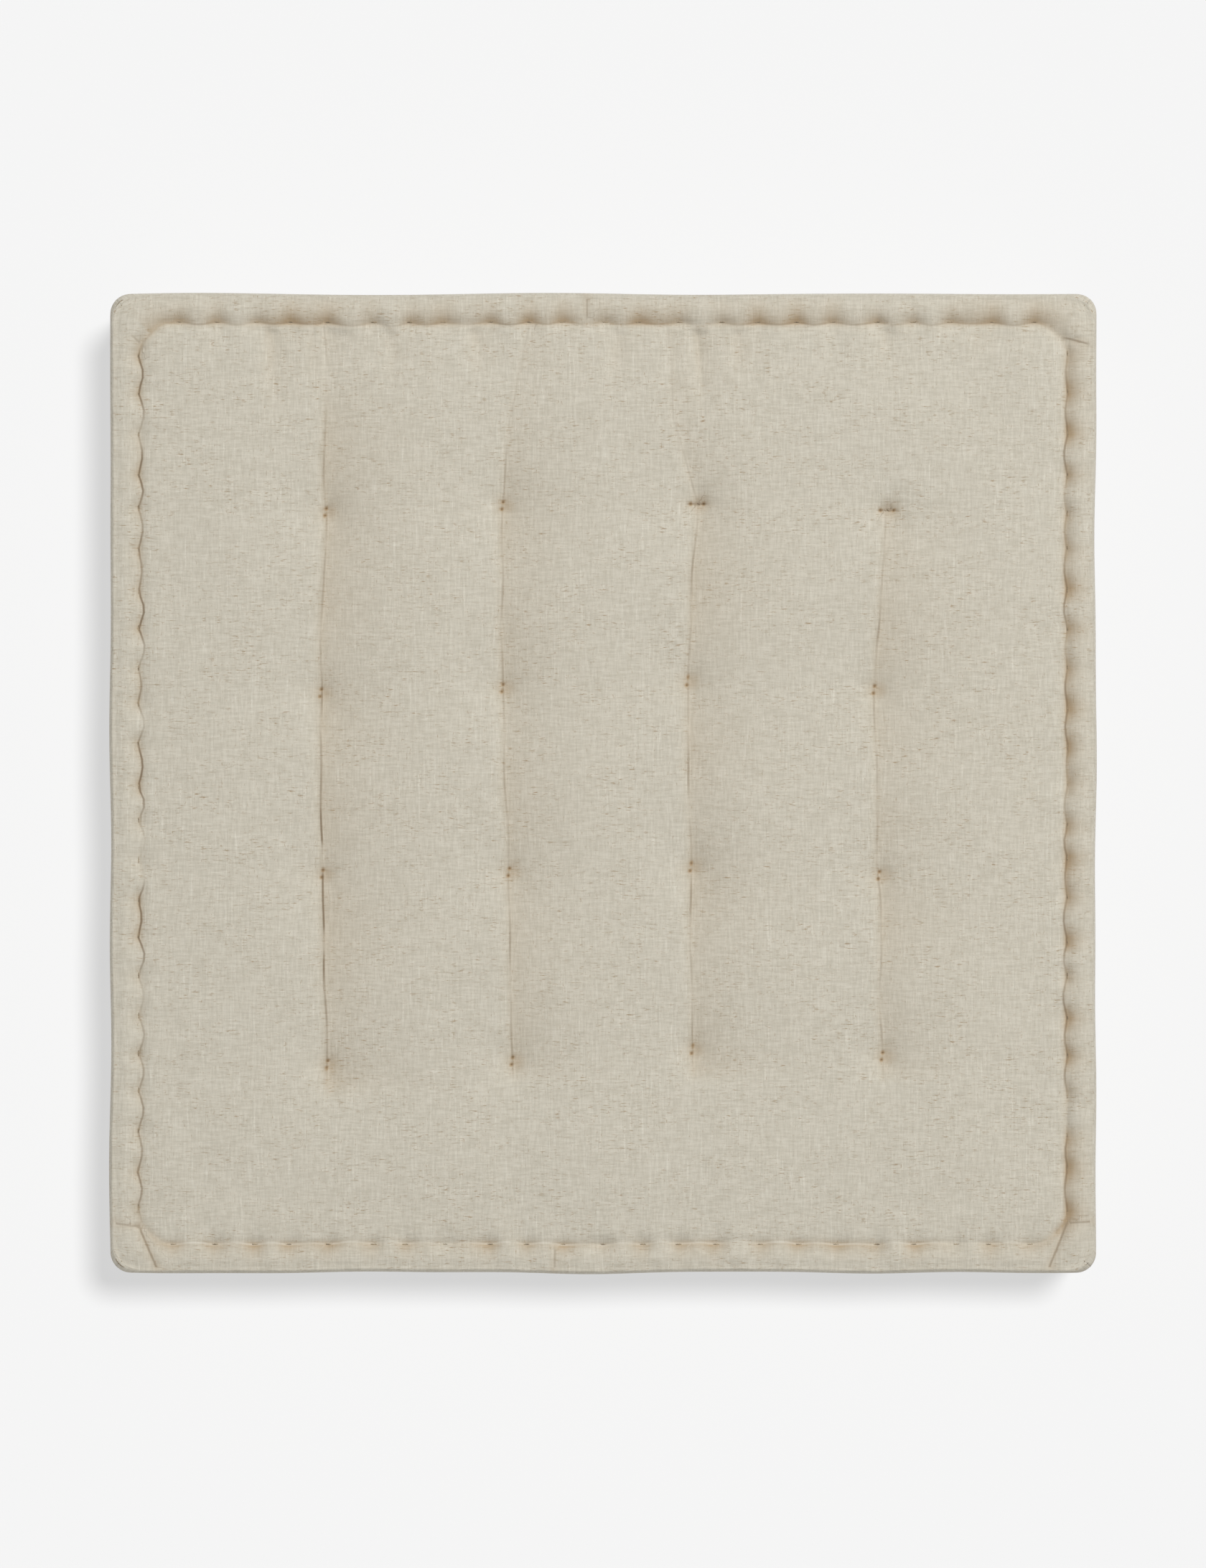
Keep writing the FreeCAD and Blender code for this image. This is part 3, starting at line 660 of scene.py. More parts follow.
def tug_panel(piece, sizes, seed):
    """The tucks that hand sewing leaves in a filled panel: creases along the tuft columns,
    pulls round each tie, and gathers that run in from the stitches."""
    points = points_of(piece)
    x, y, up = points.T
    distance, _ = groove_distance(x, y, sizes)
    on_panel = (up > SEAM_HEIGHT - 0.1 * MM) | (from_outline(x, y) > 3 * MM)
    inside = smooth_step(0, 7 * MM, -distance)
    drop = gathers(x, y, sizes)
    for column in COLUMNS:
        drop += crease(x, y, column, sizes)
    drop += 1.3 * MM * bump(from_tufts(x, y), 7 * MM)
    puckers = (
        # how far in from which edge, along what, and the depth, reach and wavelength in mm
        (HALF_DEPTH - sizes.roll_width - y, x + 0.06 * y, 0.55, 24, 26),
        (HALF_DEPTH - sizes.roll_width + y, x, 0.5, 22, 28),
        (HALF_WIDTH - sizes.roll_width - x, y, 0.3, 16, 30),
        (HALF_WIDTH - sizes.roll_width + x, y, 0.3, 16, 30),
    )
    for number, (inward, along, depth, reach, length) in enumerate(puckers):
        fold = wander(along, seed + number, length * MM, waves=8)
        reach = reach * MM * (1 + 0.45 * wander(along, seed + 10 + number, 110 * MM))
        drop += depth * MM * fold * np.exp(-np.maximum(inward, 0) / reach)
    drop += 0.45 * MM * ripple(x, y, seed + 5, 120 * MM)
    drop = drop * inside
    drop += folds(x, y) * smooth_step(3.5 * MM, 6 * MM, from_outline(x, y))
    points[:, 2] -= np.where(on_panel, drop, 0)
    set_points(piece, points)


def sway(piece, seed):
    """Nothing sewn by hand is quite straight: the outline waves in and out a little."""
    points = points_of(piece)
    x, y, up = points.T.copy()
    reach = 0.55 * MM * smooth_step(HEIGHT / 2 + 10 * MM, HEIGHT - 30 * MM, up)
    wave_x = np.where(x > 0, wander(y, seed, 150 * MM), wander(y, seed + 1, 150 * MM))
    wave_y = np.where(y > 0, wander(x, seed + 2, 150 * MM), wander(x, seed + 3, 150 * MM))
    points[:, 0] += reach * wave_x * (x / HALF_WIDTH) ** 6
    points[:, 1] += reach * wave_y * (y / HALF_DEPTH) ** 6
    set_points(piece, points)


def mark_weave(piece, flat):
    """A UV map in metres of cloth: across and deep on a panel, along and up on a band."""
    layer = piece.data.uv_layers.new(name="weave")
    corners = read(piece.data.loops, "vertex_index", np.int32)
    totals = read(piece.data.polygons, "loop_total", np.int32)
    side = np.repeat(read(piece.data.polygons, "material_index", np.int32), totals)
    x, y, up = flat[corners].T
    turned = [PANEL_AND_SIDES.index("right"), PANEL_AND_SIDES.index("left")]
    along = np.where(np.isin(side, turned), y, x)
    uv = np.stack([along, np.where(side == 0, y, up)], axis=1)
    layer.data.foreach_set("uv", uv.astype(np.float32).ravel())


# For each rolled edge, painted light: how dark the painted shade along the line of its groove is
# (below zero, a pale painted highlight), how dark the painted shade in the tucks at its stitches is,
# and how far that reaches up the roll, in millimetres. The sides differ because the light falls
# differently on each.
EDGE_SHADING = {
    "front": (-0.45, 1.0, 4), "right": (0.55, 1.25, 5.5), "back": (0.35, 1.05, 6.5),
    "left": (0.8, 0.7, 2.5)}


def mark_painted_shading(piece, sizes):
    """Attributes for the painted light in the cloth's colour: "tuck", how much painted shade each
    point gets, deep in tucks, grooves and creases; "aside", how far it is from the nearest fold line,
    in millimetres, negative on one side of it; and "fold", how dark the painted shade along that line
    is or, below zero, how pale its painted highlight is."""
    x, y, up = points_of(piece).T
    distance, between = groove_distance(x, y, sizes)
    outline = from_outline(x, y)
    near_x, near_y = HALF_WIDTH - np.abs(x), HALF_DEPTH - np.abs(y)
    beside_right = (near_x < near_y) & (x > 0)
    line_shade, stitch_shade, reach = (
        np.select([beside_right, near_x < near_y, y > 0], [right, left, back], front)
        for front, right, back, left in zip(*(EDGE_SHADING[side] for side in SIDES)))
    corner_start = HALF_WIDTH + HALF_DEPTH - 2 * sizes.roll_width - 24 * MM
    line_shade = line_shade * (
        1 - 0.8 * smooth_step(0, 10 * MM, np.abs(x) + np.abs(y) - corner_start))
    patchy = np.clip(0.8 + 0.6 * ripple(x, y, 90, 60 * MM), 0.15, 1.3)
    # Painted shade on the roll's inner slope at each stitch. It fades up the roll and towards the
    # middle between stitches.
    slope = np.where(
        distance > 0, np.exp(-distance / (reach * MM)), np.exp(distance / (1.2 * MM)))
    tuck_shade = stitch_shade * patchy * slope * (1 - 0.85 * np.clip(between, 0, 1))
    tuck_shade = np.where(outline > 4 * MM, tuck_shade, 0)
    # Painted shade in the folds across the rims and in the gathers, and on the side of each tuft's
    # dimple that faces away from the light.
    tuck_shade = np.maximum(tuck_shade, 0.22 * folds(x, y) / MM)
    tuck_shade = np.maximum(tuck_shade, 0.04 * gathers(x, y, sizes) / MM * (distance < 0))
    tuck_shade = np.maximum(tuck_shade, 0.5 * bump(from_tufts(x - 2.5 * MM, y), 6 * MM))
    # The groove's line gets painted shade, or a painted highlight where its value is below zero.
    aside, fold = distance / MM, line_shade * patchy * bump(distance, 9 * MM)
    for column in COLUMNS:
        # Painted shade in each crease, and a dark painted line along it.
        tuck_shade = np.maximum(tuck_shade, 0.05 * crease(x, y, column, sizes) / MM)
        off = (x - crease_line(y, column)) / MM
        line = (0.32, 0.3, 0.3, 0.26)[column] * crease_strength(y, column) * bump(off, 9)
        if column == 0:
            line = line * (1 + 2.2 * bump(y + 70 * MM, 75 * MM))
        line = line * np.clip(1 + 0.6 * wander(y, 70 + column, 45 * MM), 0.1, 2)
        nearer = np.abs(off) < np.abs(aside)
        aside, fold = np.where(nearer, off, aside), np.where(nearer, line, fold)
    for start, end, depth in FOLDS:
        off, away = beside_fold(x, y, start, end)
        # A dark painted line along each fold.
        line = 0.3 * depth * bump(np.sqrt(np.maximum(away**2 - off**2, 0)), 1.5 * MM)
        nearer = (np.abs(off) / MM < np.abs(aside)) & (away < 9 * MM) & (outline > 1.5 * MM)
        aside, fold = np.where(nearer, off / MM, aside), np.where(nearer, line, fold)
    # Painted shade in the band's groove under the roll.
    beside = bump(up - BAND_GROOVE, 3 * MM)
    tuck_shade = np.maximum(tuck_shade, np.where(outline < 6 * MM, 0.7 * beside * (1 - 0.6 * between), 0))
    on_panel = (up > SEAM_HEIGHT - 0.1 * MM) | (outline > 3 * MM)
    fold = np.where(on_panel, fold, 0)
    for name, values in (("tuck_shade", np.clip(tuck_shade, 0, 1)), ("aside", aside), ("fold", fold)):
        layer = piece.data.attributes.new(name, "FLOAT", "POINT")
        layer.data.foreach_set("value", values.astype(np.float32))


def prick_holes(piece):
    """The two needle holes of each tuft: a small pit, and painted shade in it."""
    points = points_of(piece)
    x, y, up = points.T
    upper = 1 if up.mean() > HEIGHT / 2 else -1
    layer = piece.data.attributes["tuck_shade"].data
    tuck_shade = read(layer, "value", np.float32)
    for place, (middle_x, middle_y) in TUFTS.items():
        out_x, out_y = tack(place)
        for sign in (-1, 1):
            away = np.hypot(
                upper * x - middle_x - sign * out_x, y - middle_y - sign * out_y)
            points[:, 2] -= upper * 1.3 * MM * bump(away, 1.0 * MM)
            # Painted shade in the hole, on top of the pit.
            tuck_shade = np.maximum(tuck_shade, 2 * bump(away, 1.15 * MM))
    set_points(piece, points)
    layer.foreach_set("value", tuck_shade.astype(np.float32))


def turn_over(piece):
    """A copy of a half, turned over to be the bottom half and pressed flat on the floor."""
    choose(piece)
    bpy.ops.object.duplicate()
    under = bpy.context.object
    points = points_of(under)
    points[:, 0] *= -1
    points[:, 2] = HEIGHT - points[:, 2]
    squeeze, reach = 1.2 * MM, 12 * MM
    points[:, 2] -= squeeze * np.maximum(1 - points[:, 2] / reach, 0)
    points[:, 2] = np.maximum(points[:, 2], 0)
    set_points(under, points)
    return under


def part_by_side(half):
    """Takes a half apart along its seams. Returns its panel and its bands, by name."""
    side = half.data.attributes.new("side", "INT", "FACE")
    side.data.foreach_set("value", read(half.data.polygons, "material_index", np.int32))
    edit(half)
    bpy.ops.mesh.separate(type="MATERIAL")
    bpy.ops.object.mode_set(mode="OBJECT")
    return {
        PANEL_AND_SIDES[piece.data.attributes["side"].data[0].value]: piece
        for piece in bpy.context.selected_objects}


def finish_cloth(piece, name, node, material, sizes):
    """Names a piece of the cover, smooths it, and gives it the thickness of the linen. The
    bottom panel stays coarser, because it is pressed flat."""
    piece.name = piece.data.name = name
    piece.vertex_groups.clear()
    piece.data.materials.clear()
    piece.data.materials.append(material)
    piece.data.polygons.foreach_set("material_index", [0] * len(piece.data.polygons))
    if node != "bottom_panel":
        rounder = piece.modifiers.new("Smoother", "SUBSURF")
        rounder.levels = rounder.render_levels = 1
        rounder.boundary_smooth = "PRESERVE_CORNERS"
        finish_modifier(piece, rounder.name)
    if "panel" in name:
        prick_holes(piece)
    wall = piece.modifiers.new("Linen", "SOLIDIFY")
    wall.thickness = sizes.cloth
    wall.offset = -1
    finish_modifier(piece, wall.name)
    bpy.ops.object.shade_smooth()
    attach(piece, "root")
    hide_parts(node)


# ---- Materials ----


def new_material(name, numbers):
    """A material with its tree and its shader, whose sockets get these numbers."""
    material = bpy.data.materials.new(name)
    material.use_nodes = True
    tree = material.node_tree
    shader = tree.nodes["Principled BSDF"]
    for socket, number in numbers.items():
        shader.inputs[socket].default_value = number
    return material, tree, shader


def add_node(tree, kind, settings=None, links=None):
    """Adds a node. Settings go to its inputs by name or number, or to its properties where
    they start with a dot. Links join its inputs to other nodes' outputs."""
    node = tree.nodes.new(kind)
    for key, value in (settings or {}).items():
        if isinstance(key, str) and key.startswith("."):
            setattr(node, key[1:], value)
        else:
            node.inputs[key].default_value = value
    for key, source in (links or {}).items():
        tree.links.new(source, node.inputs[key])
    return node


def woven_linen(colours):
    """Heavy slub linen, plain weave, washed. Matte and slightly hairy: a soft sheen at grazing
    angles, a fine grid of yarns, thick pale stretches along the warp, short darker fibres mostly
    along the weft, and broad, faint changes of tone. Painted shade in tucks, creases, fold lines and
    needle holes, and a pale painted highlight along some fold lines, are mixed into its colour from
    the mesh's attributes."""
    material, tree, shader = new_material("washed_slub_linen", {
        "Roughness": 0.95, "Specular IOR Level": 0.15, "Sheen Weight": 0.12,
        "Sheen Roughness": 0.6})
    weave = add_node(tree, "ShaderNodeUVMap", {".uv_map": "weave"}).outputs["UV"]
    # Yarns lie 0.6 mm apart on the real cloth, which is finer than can be seen at this
    # distance, so the grid of yarns is drawn about 1.4 mm apart.
    yarn = 1.4
    # Noise drawn out into streaks: their width and length in millimetres, the noise's detail
    # and place, whether they run along the weft, and the range that is spread out from and to.
    parts = {}
    for name, width, length, detail, seed, along_weft, low, high, least, most in (
        ("pale_warp", 1.1, 30, 2, 11.3, False, 0.58, 0.74, 0, 0.5),
        ("pale_weft", 1.0, 16, 2, 19.9, True, 0.6, 0.76, 0, 0.4),
        ("clusters", 16, 34, 3, 3.1, True, 0.42, 0.6, 0.2, 1.0),
        ("dark_weft", 1.0, 5, 3, 27.1, True, 0.56, 0.7, 0, 1),
        ("dark_warp", 1.0, 3, 3, 33.3, False, 0.62, 0.76, 0, 0.6),
        ("weft", yarn, 9, 2, 41.7, True, 0.3, 0.7, 0, 1),
        ("warp", yarn, 11, 2, 47.9, False, 0.3, 0.7, 0, 1),
    ):
        across, along = 1 / (width * MM), 1 / (length * MM)
        scale = (along, across, 1) if along_weft else (across, along, 1)
        place = add_node(
            tree, "ShaderNodeMapping", {"Scale": scale, "Location": (seed, 2 * seed, seed)},
            {"Vector": weave})
        noise = add_node(
            tree, "ShaderNodeTexNoise", {"Scale": 1.0, "Detail": detail, "Roughness": 0.6},
            {"Vector": place.outputs["Vector"]})
        parts[name] = add_node(
            tree, "ShaderNodeMapRange",
            {"From Min": low, "From Max": high, "To Min": least, "To Max": most},
            {"Value": noise.outputs["Fac"]}).outputs["Result"]
    for name in ("tuck_shade", "aside", "fold"):
        parts[name] = add_node(
            tree, "ShaderNodeAttribute", {".attribute_name": name}).outputs["Fac"]
    for name, operation, first, second in (
        ("dark_fibres", "MULTIPLY", "dark_weft", "clusters"),
        ("grid", "ADD", "weft", "warp"),
        ("height", "ADD", "grid", "pale_warp"),
    ):
        parts[name] = add_node(
            tree, "ShaderNodeMath", {".operation": operation},
            {0: parts[first], 1: parts[second]}).outputs[0]
    # The painted fold lines, shade or highlight, lie within a millimetre of where "aside" is zero.
    distance = add_node(tree, "ShaderNodeMath", {".operation": "ABSOLUTE"}, {0: parts["aside"]})
    on_line = add_node(
        tree, "ShaderNodeMapRange", {"From Min": 0.25, "From Max": 1.0, "To Min": 1.0, "To Max": 0.0},
        {"Value": distance.outputs[0]})
    ground = add_node(tree, "ShaderNodeRGB")
    ground.outputs[0].default_value = linear(colours.linen)
    colour = ground.outputs[0]
    # The tints, one over another: what each follows and, unless it is used as it is, the range that
    # is spread out and how strong the tint then is. The last four are painted light: painted shade in
    # tucks and grooves, painted shade along fold lines, a pale painted highlight along fold lines
    # below zero, and painted shade in the needle holes.
    for name, low, high, most, tint in (
        ("pale_warp", 0, 0, None, colours.slub),
        ("pale_weft", 0, 0, None, colours.slub),
        ("dark_fibres", 0, 1, 0.8, colours.fleck),
        ("dark_warp", 0, 0, None, colours.fleck),
        ("grid", 0.4, 1.6, 0.5, "#B3AC9B"),
        ("tuck_shade", 0, 1, 0.9, colours.tuck_shade),
        ("fold", 0, 1, 0.8, colours.fold_and_hole_shade),
        ("fold", 0, -1, 0.7, colours.slub),
        ("tuck_shade", 1, 1.9, 0.95, colours.fold_and_hole_shade),
    ):
        amount = parts[name]
        if most:
            amount = add_node(
                tree, "ShaderNodeMapRange", {"From Min": low, "From Max": high, "To Max": most},
                {"Value": amount}).outputs["Result"]
        if name == "fold":
            amount = add_node(
                tree, "ShaderNodeMath", {".operation": "MULTIPLY"},
                {0: on_line.outputs["Result"], 1: amount}).outputs[0]
        colour = add_node(
            tree, "ShaderNodeMix", {".data_type": "RGBA", "B": linear(tint)},
            {"Factor": amount, "A": colour}).outputs["Result"]
    tree.links.new(colour, shader.inputs["Base Color"])
    relief = add_node(
        tree, "ShaderNodeBump", {"Strength": 0.35, "Distance": 0.25 * MM},
        {"Height": parts["height"]})
    tree.links.new(relief.outputs["Normal"], shader.inputs["Normal"])
    return material


def spun_yarn(name, colour, twist_pitch):
    """Plied linen yarn, waxed: matte with a faint gloss, and a twist that shows as slanting bands of
    light and dark, painted into the colour as shade and also drawn as a bump. The colour is uneven
    along the yarn, as flax is."""
    material, tree, shader = new_material(name, {"Roughness": 0.7})
    place = add_node(tree, "ShaderNodeTexCoord").outputs["Object"]
    twist = add_node(
        tree, "ShaderNodeTexWave",
        {".bands_direction": "DIAGONAL", "Scale": 0.3 / twist_pitch, "Distortion": 1.5},
        {"Vector": place})
    uneven = add_node(tree, "ShaderNodeTexNoise", {"Scale": 350.0, "Detail": 3.0}, {"Vector": place})
    ramp = add_node(
        # Painted shade: the dark bands of the twist.
        tree, "ShaderNodeMix",
        {".data_type": "RGBA", "A": darker(colour, 0.55), "B": linear(colour)},
        {"Factor": twist.outputs["Fac"]})
    mixed = add_node(
        tree, "ShaderNodeMix",
        {".data_type": "RGBA", ".blend_type": "MULTIPLY", "B": (0.8, 0.76, 0.7, 1)},
        {"Factor": uneven.outputs["Fac"], "A": ramp.outputs["Result"]})
    tree.links.new(mixed.outputs["Result"], shader.inputs["Base Color"])
    relief = add_node(
        tree, "ShaderNodeBump", {"Strength": 0.6, "Distance": 0.15 * MM},
        {"Height": twist.outputs["Fac"]})
    tree.links.new(relief.outputs["Normal"], shader.inputs["Normal"])
    return material


def lit_diffuser(name, colours, glow):
    """A matte grey diffuser sheet, lit from behind, so that its own glow does most to make it
    white and shadows on it stay pale."""
    material, tree, shader = new_material(name, {
        "Roughness": 0.9, "Specular IOR Level": 0.1, "Emission Color": (1, 1, 1, 1),
        "Emission Strength": glow})
    place = add_node(tree, "ShaderNodeTexCoord").outputs["Object"]
    grain = add_node(tree, "ShaderNodeTexNoise", {"Scale": 900.0, "Detail": 2.0}, {"Vector": place})
    tone = add_node(
        tree, "ShaderNodeMix",
        {".data_type": "RGBA", "A": linear(colours.floor), "B": linear("#5B5B5B")},
        {"Factor": grain.outputs["Fac"]})
    tree.links.new(tone.outputs["Result"], shader.inputs["Base Color"])
    return material


def cut_foam(colour):
    """Polyurethane upholstery foam, sawn from a block: matte, cream, with open cells of
    about a millimetre that show as fine pits. The cells are drawn 1.5 mm wide."""
    material, tree, shader = new_material("open_cell_foam", {"Roughness": 1.0})
    cell = 1.5 * MM
    place = add_node(tree, "ShaderNodeTexCoord").outputs["Object"]
    cells = add_node(tree, "ShaderNodeTexVoronoi", {"Scale": 1 / cell}, {"Vector": place})
    # Painted shade: each cell is darker towards its middle, where the bump makes its pit.
    tone = add_node(
        tree, "ShaderNodeMix",
        {".data_type": "RGBA", "A": darker(colour, 0.7), "B": linear(colour)},
        {"Factor": cells.outputs["Distance"]})
    tree.links.new(tone.outputs["Result"], shader.inputs["Base Color"])
    relief = add_node(
        tree, "ShaderNodeBump", {"Strength": 0.8, "Distance": 0.4 * MM},
        {"Height": cells.outputs["Distance"]})
    tree.links.new(relief.outputs["Normal"], shader.inputs["Normal"])
    return material


def carded_cotton(colour):
    """Carded cotton and polyester batting: off-white fibres that lie every way, so it is
    matte with a soft bloom at its edges, and slightly uneven in tone."""
    material, tree, shader = new_material("carded_cotton_batting", {
        "Roughness": 1.0, "Sheen Weight": 0.3, "Sheen Roughness": 0.7})
    place = add_node(tree, "ShaderNodeTexCoord").outputs["Object"]
    fibre, clump = 1.2 * MM, 20 * MM
    fibres = add_node(
        tree, "ShaderNodeTexNoise", {"Scale": 1 / fibre, "Detail": 4.0, "Distortion": 2.0},
        {"Vector": place})
    clumps = add_node(tree, "ShaderNodeTexNoise", {"Scale": 1 / clump}, {"Vector": place})
    tone = add_node(
        tree, "ShaderNodeMix",
        {".data_type": "RGBA", "A": linear(colour), "B": linear("#DDD6C4")},
        {"Factor": clumps.outputs["Fac"]})
    tree.links.new(tone.outputs["Result"], shader.inputs["Base Color"])
    relief = add_node(
        tree, "ShaderNodeBump", {"Strength": 0.7, "Distance": 0.6 * MM},
        {"Height": fibres.outputs["Fac"]})
    tree.links.new(relief.outputs["Normal"], shader.inputs["Normal"])
    return material


# ---- Foam and batting ----

CORE_LOW, CORE_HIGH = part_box("foam_core")
GAP = 0.5 * MM


def wall_heights(piece, x, y, spread):
    """The lowest height of a panel's inner wall round each point, looking up from the foam."""
    tree = BVHTree.FromObject(piece, bpy.context.evaluated_depsgraph_get())
    middle = HEIGHT / 2
    lowest = np.full(len(x), HEIGHT)
    for step_x in (-spread, 0, spread):
        for step_y in (-spread, 0, spread):
            for index, (across, deep) in enumerate(zip(x + step_x, y + step_y)):
                hit = tree.ray_cast((across, deep, middle), (0, 0, 1))[0]
                height = hit.z if hit else SEAM_HEIGHT - 2 * MM
                lowest[index] = min(lowest[index], height)
    return lowest


def fill_face(name, face, panel, material):
    """A sheet of batting between the foam and a panel. It fills the pillows and the roll,
    and is squeezed thin at the ties and under the grooves."""
    low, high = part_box(f"batting_{face}")
    piece = block(Vector((low.x, low.y, 0)), Vector((high.x, high.y, 1)), ((11, 10), (11, 10), (2,)))
    points = points_of(piece)
    inset = 2.4 * MM
    half_x, half_y = high.x - inset, high.y - inset
    x, y = points[:, 0] * half_x / high.x, points[:, 1] * half_y / high.y
    x, y = round_corners(x, y, half_x, half_y, 14 * MM)
    level = points[:, 2]
    floor = CORE_HIGH.z + GAP - 0.3 * MM * ripple(x, y, 81, 60 * MM)
    wall = wall_heights(panel, x, y, 2.5 * MM)
    depth = np.maximum(wall - GAP - 0.4 * MM * ripple(x, y, 82, 25 * MM) - floor, 1.2 * MM)
    floor = floor - 7 * MM * bump(from_tufts(x, y), 17 * MM)
    floor = np.minimum(floor, wall - GAP - 1.2 * MM)
    points[:] = np.stack([x, y, floor + depth * level], axis=1)
    points[:, 2] = np.minimum(points[:, 2], np.maximum(wall - GAP, floor))
    if face == "bottom":
        points[:, 0] *= -1
        points[:, 2] = HEIGHT - points[:, 2]
    set_points(piece, points)
    finish_filling(piece, name, f"batting_{face}", material)


def fill_side(name, side, sizes, material):
    """A strip of batting between the foam and a band, mitred at its ends."""
    piece = block(Vector((-1, 0, CORE_LOW.z)), Vector((1, 1, CORE_HIGH.z)), ((10, 10), (2,), (3, 5)))
    points = points_of(piece)
    along, depth, up = points.T
    mirror_up = np.maximum(up, HEIGHT - up)
    inset = band_inset(mirror_up, 0, sizes) + sizes.cloth + GAP + 0.6 * MM
    inset += 0.3 * MM * ripple(along, up * 3, 83 + SIDES.index(side), 0.1)
    turned = side in ("right", "left")
    half_x, half_y = HALF_WIDTH - inset, HALF_DEPTH - inset
    half_along, half_away = (half_y, half_x) if turned else (half_x, half_y)
    core_along, core_away = (CORE_HIGH.y, CORE_HIGH.x) if turned else (CORE_HIGH.x, CORE_HIGH.y)
    outer_x, outer_y = round_corners(
        along * half_along, -half_away * np.ones_like(along), half_along, half_away, 10 * MM)
    inner_x, inner_y = along * (core_along + GAP), -(core_away + GAP)
    x = inner_x + (outer_x - inner_x) * (1 - depth)
    y = inner_y + (outer_y - inner_y) * (1 - depth)
    turn = SIDES.index(side) * math.pi / 2
    across = x * math.cos(turn) - y * math.sin(turn)
    deep = x * math.sin(turn) + y * math.cos(turn)
    set_points(piece, np.stack([across, deep, up], axis=1))
    finish_filling(piece, name, f"batting_{side}", material)


def finish_filling(piece, name, node, material):
    piece.name = piece.data.name = name
    face_outwards(piece)
    bpy.ops.object.shade_smooth_by_angle(angle=math.radians(60))
    piece.data.materials.append(material)
    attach(piece, "root")
    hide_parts(node)


# ---- Threads ----


def soften(corners, step=0.8 * MM, rounding=1.6 * MM, closed=False):
    """A path through corner points with even steps, and its bends rounded over a length."""
    corners = np.array(corners, dtype=float)
    if closed:
        corners = np.vstack([corners, corners[:1]])
    lengths = np.linalg.norm(np.diff(corners, axis=0), axis=1)
    along = np.concatenate([[0], np.cumsum(lengths)])
    count = max(int(along[-1] / step), 4)
    marks = np.linspace(0, along[-1], count + 1)
    path = np.stack([np.interp(marks, along, corners[:, axis]) for axis in range(3)], axis=1)
    if closed:
        path = path[:-1]
    span = max(int(rounding / step) // 2, 1)
    mode = "wrap" if closed else "edge"
    padded = np.pad(path, ((span, span), (0, 0)), mode=mode)
    window = np.ones(2 * span + 1) / (2 * span + 1)
    return np.stack([np.convolve(padded[:, axis], window, "valid") for axis in range(3)], axis=1)


def lay_thread(path, radius, twist, closed=False):
    """A two-ply thread along a path: its section is two round plies side by side, and turns
    once for each length of twist."""
    settle()
    bpy.ops.curve.primitive_nurbs_circle_add(radius=radius)
    section = bpy.context.object
    section.data.splines.clear()
    outline = section.data.splines.new("POLY")
    sides = 10
    outline.points.add(sides - 1)
    for index, point in enumerate(outline.points):
        angle = 2 * math.pi * index / sides
        reach = radius * (0.76 + 0.24 * math.cos(2 * angle))
        point.co = (reach * math.cos(angle), reach * math.sin(angle), 0, 1)
    outline.use_cyclic_u = True
    settle()
    bpy.ops.curve.primitive_nurbs_path_add()
    thread = bpy.context.object
    curve = thread.data
    curve.splines.clear()
    spline = curve.splines.new("POLY")
    spline.points.add(len(path) - 1)
    spline.points.foreach_set("co", np.column_stack([path, np.ones(len(path))]).ravel())
    steps = np.linalg.norm(np.diff(path, axis=0), axis=1)
    travelled = np.concatenate([[0], np.cumsum(steps)])
    spline.points.foreach_set("tilt", 2 * math.pi * travelled / twist)
    spline.use_cyclic_u = closed
    curve.dimensions = "3D"
    curve.bevel_mode = "OBJECT"
    curve.bevel_object = section
    curve.use_fill_caps = not closed
    choose(thread)
    bpy.ops.object.convert(target="MESH")
    thread = bpy.context.object
    choose(section)
    bpy.ops.object.delete()
    face_outwards(thread, merge=0.001 * MM)
    bpy.ops.object.shade_smooth()
    return thread


def finish_thread(thread, node, material):
    thread.name = thread.data.name = f"{node}_spun"
    thread.data.materials.clear()
    thread.data.materials.append(material)
    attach(thread, "root")
    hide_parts(node)


def outer_wall(names):
    """A search tree of the outside of pieces of the cover."""
    graph = bpy.context.evaluated_depsgraph_get()
    return [BVHTree.FromObject(bpy.data.objects[name], graph) for name in names]


def strike(trees, start, direction):
    """The first point where a straight line meets the cover."""
    hits = [tree.ray_cast(start, direction)[0] for tree in trees]
    hits = [hit for hit in hits if hit is not None]
    return np.array(min(hits, key=lambda hit: (hit - Vector(start)).length))


def turned_over(path):
    """The same path on the other half of the cushion."""
    return path * (-1, 1, -1) + (0, 0, HEIGHT)


# ---- Operators, one for each group of pieces ----


class CUSHION_OT_cover(bpy.types.Operator):
    """Sews the cover, fills it and takes it apart into two panels and four bands"""

    bl_idname = "cushion.cover"
    bl_label = "Cover"

    def execute(self, context):
        sizes = context.scene.cushion_sizes
        linen = woven_linen(context.scene.cushion_colours)
        half = blank_half()
        flat = form_half(half, sizes)
        fill_with_pressure(half, sizes)
        mark_weave(half, flat)
        tug_panel(half, sizes, 60)
        mark_painted_shading(half, sizes)
        sway(half, 31)
        under = turn_over(half)
        upper, lower = part_by_side(half), part_by_side(under)
        for side in SIDES:
            choose(lower[PARTNER[side]], upper[side])
            bpy.ops.object.join()
            face_outwards(upper[side], merge=0.05 * MM)
            finish_cloth(upper[side], f"linen_band_{side}", f"band_{side}", linen, sizes)
        finish_cloth(upper["panel"], "linen_panel_top", "top_panel", linen, sizes)
        finish_cloth(lower["panel"], "linen_panel_bottom", "bottom_panel", linen, sizes)
        return {"FINISHED"}


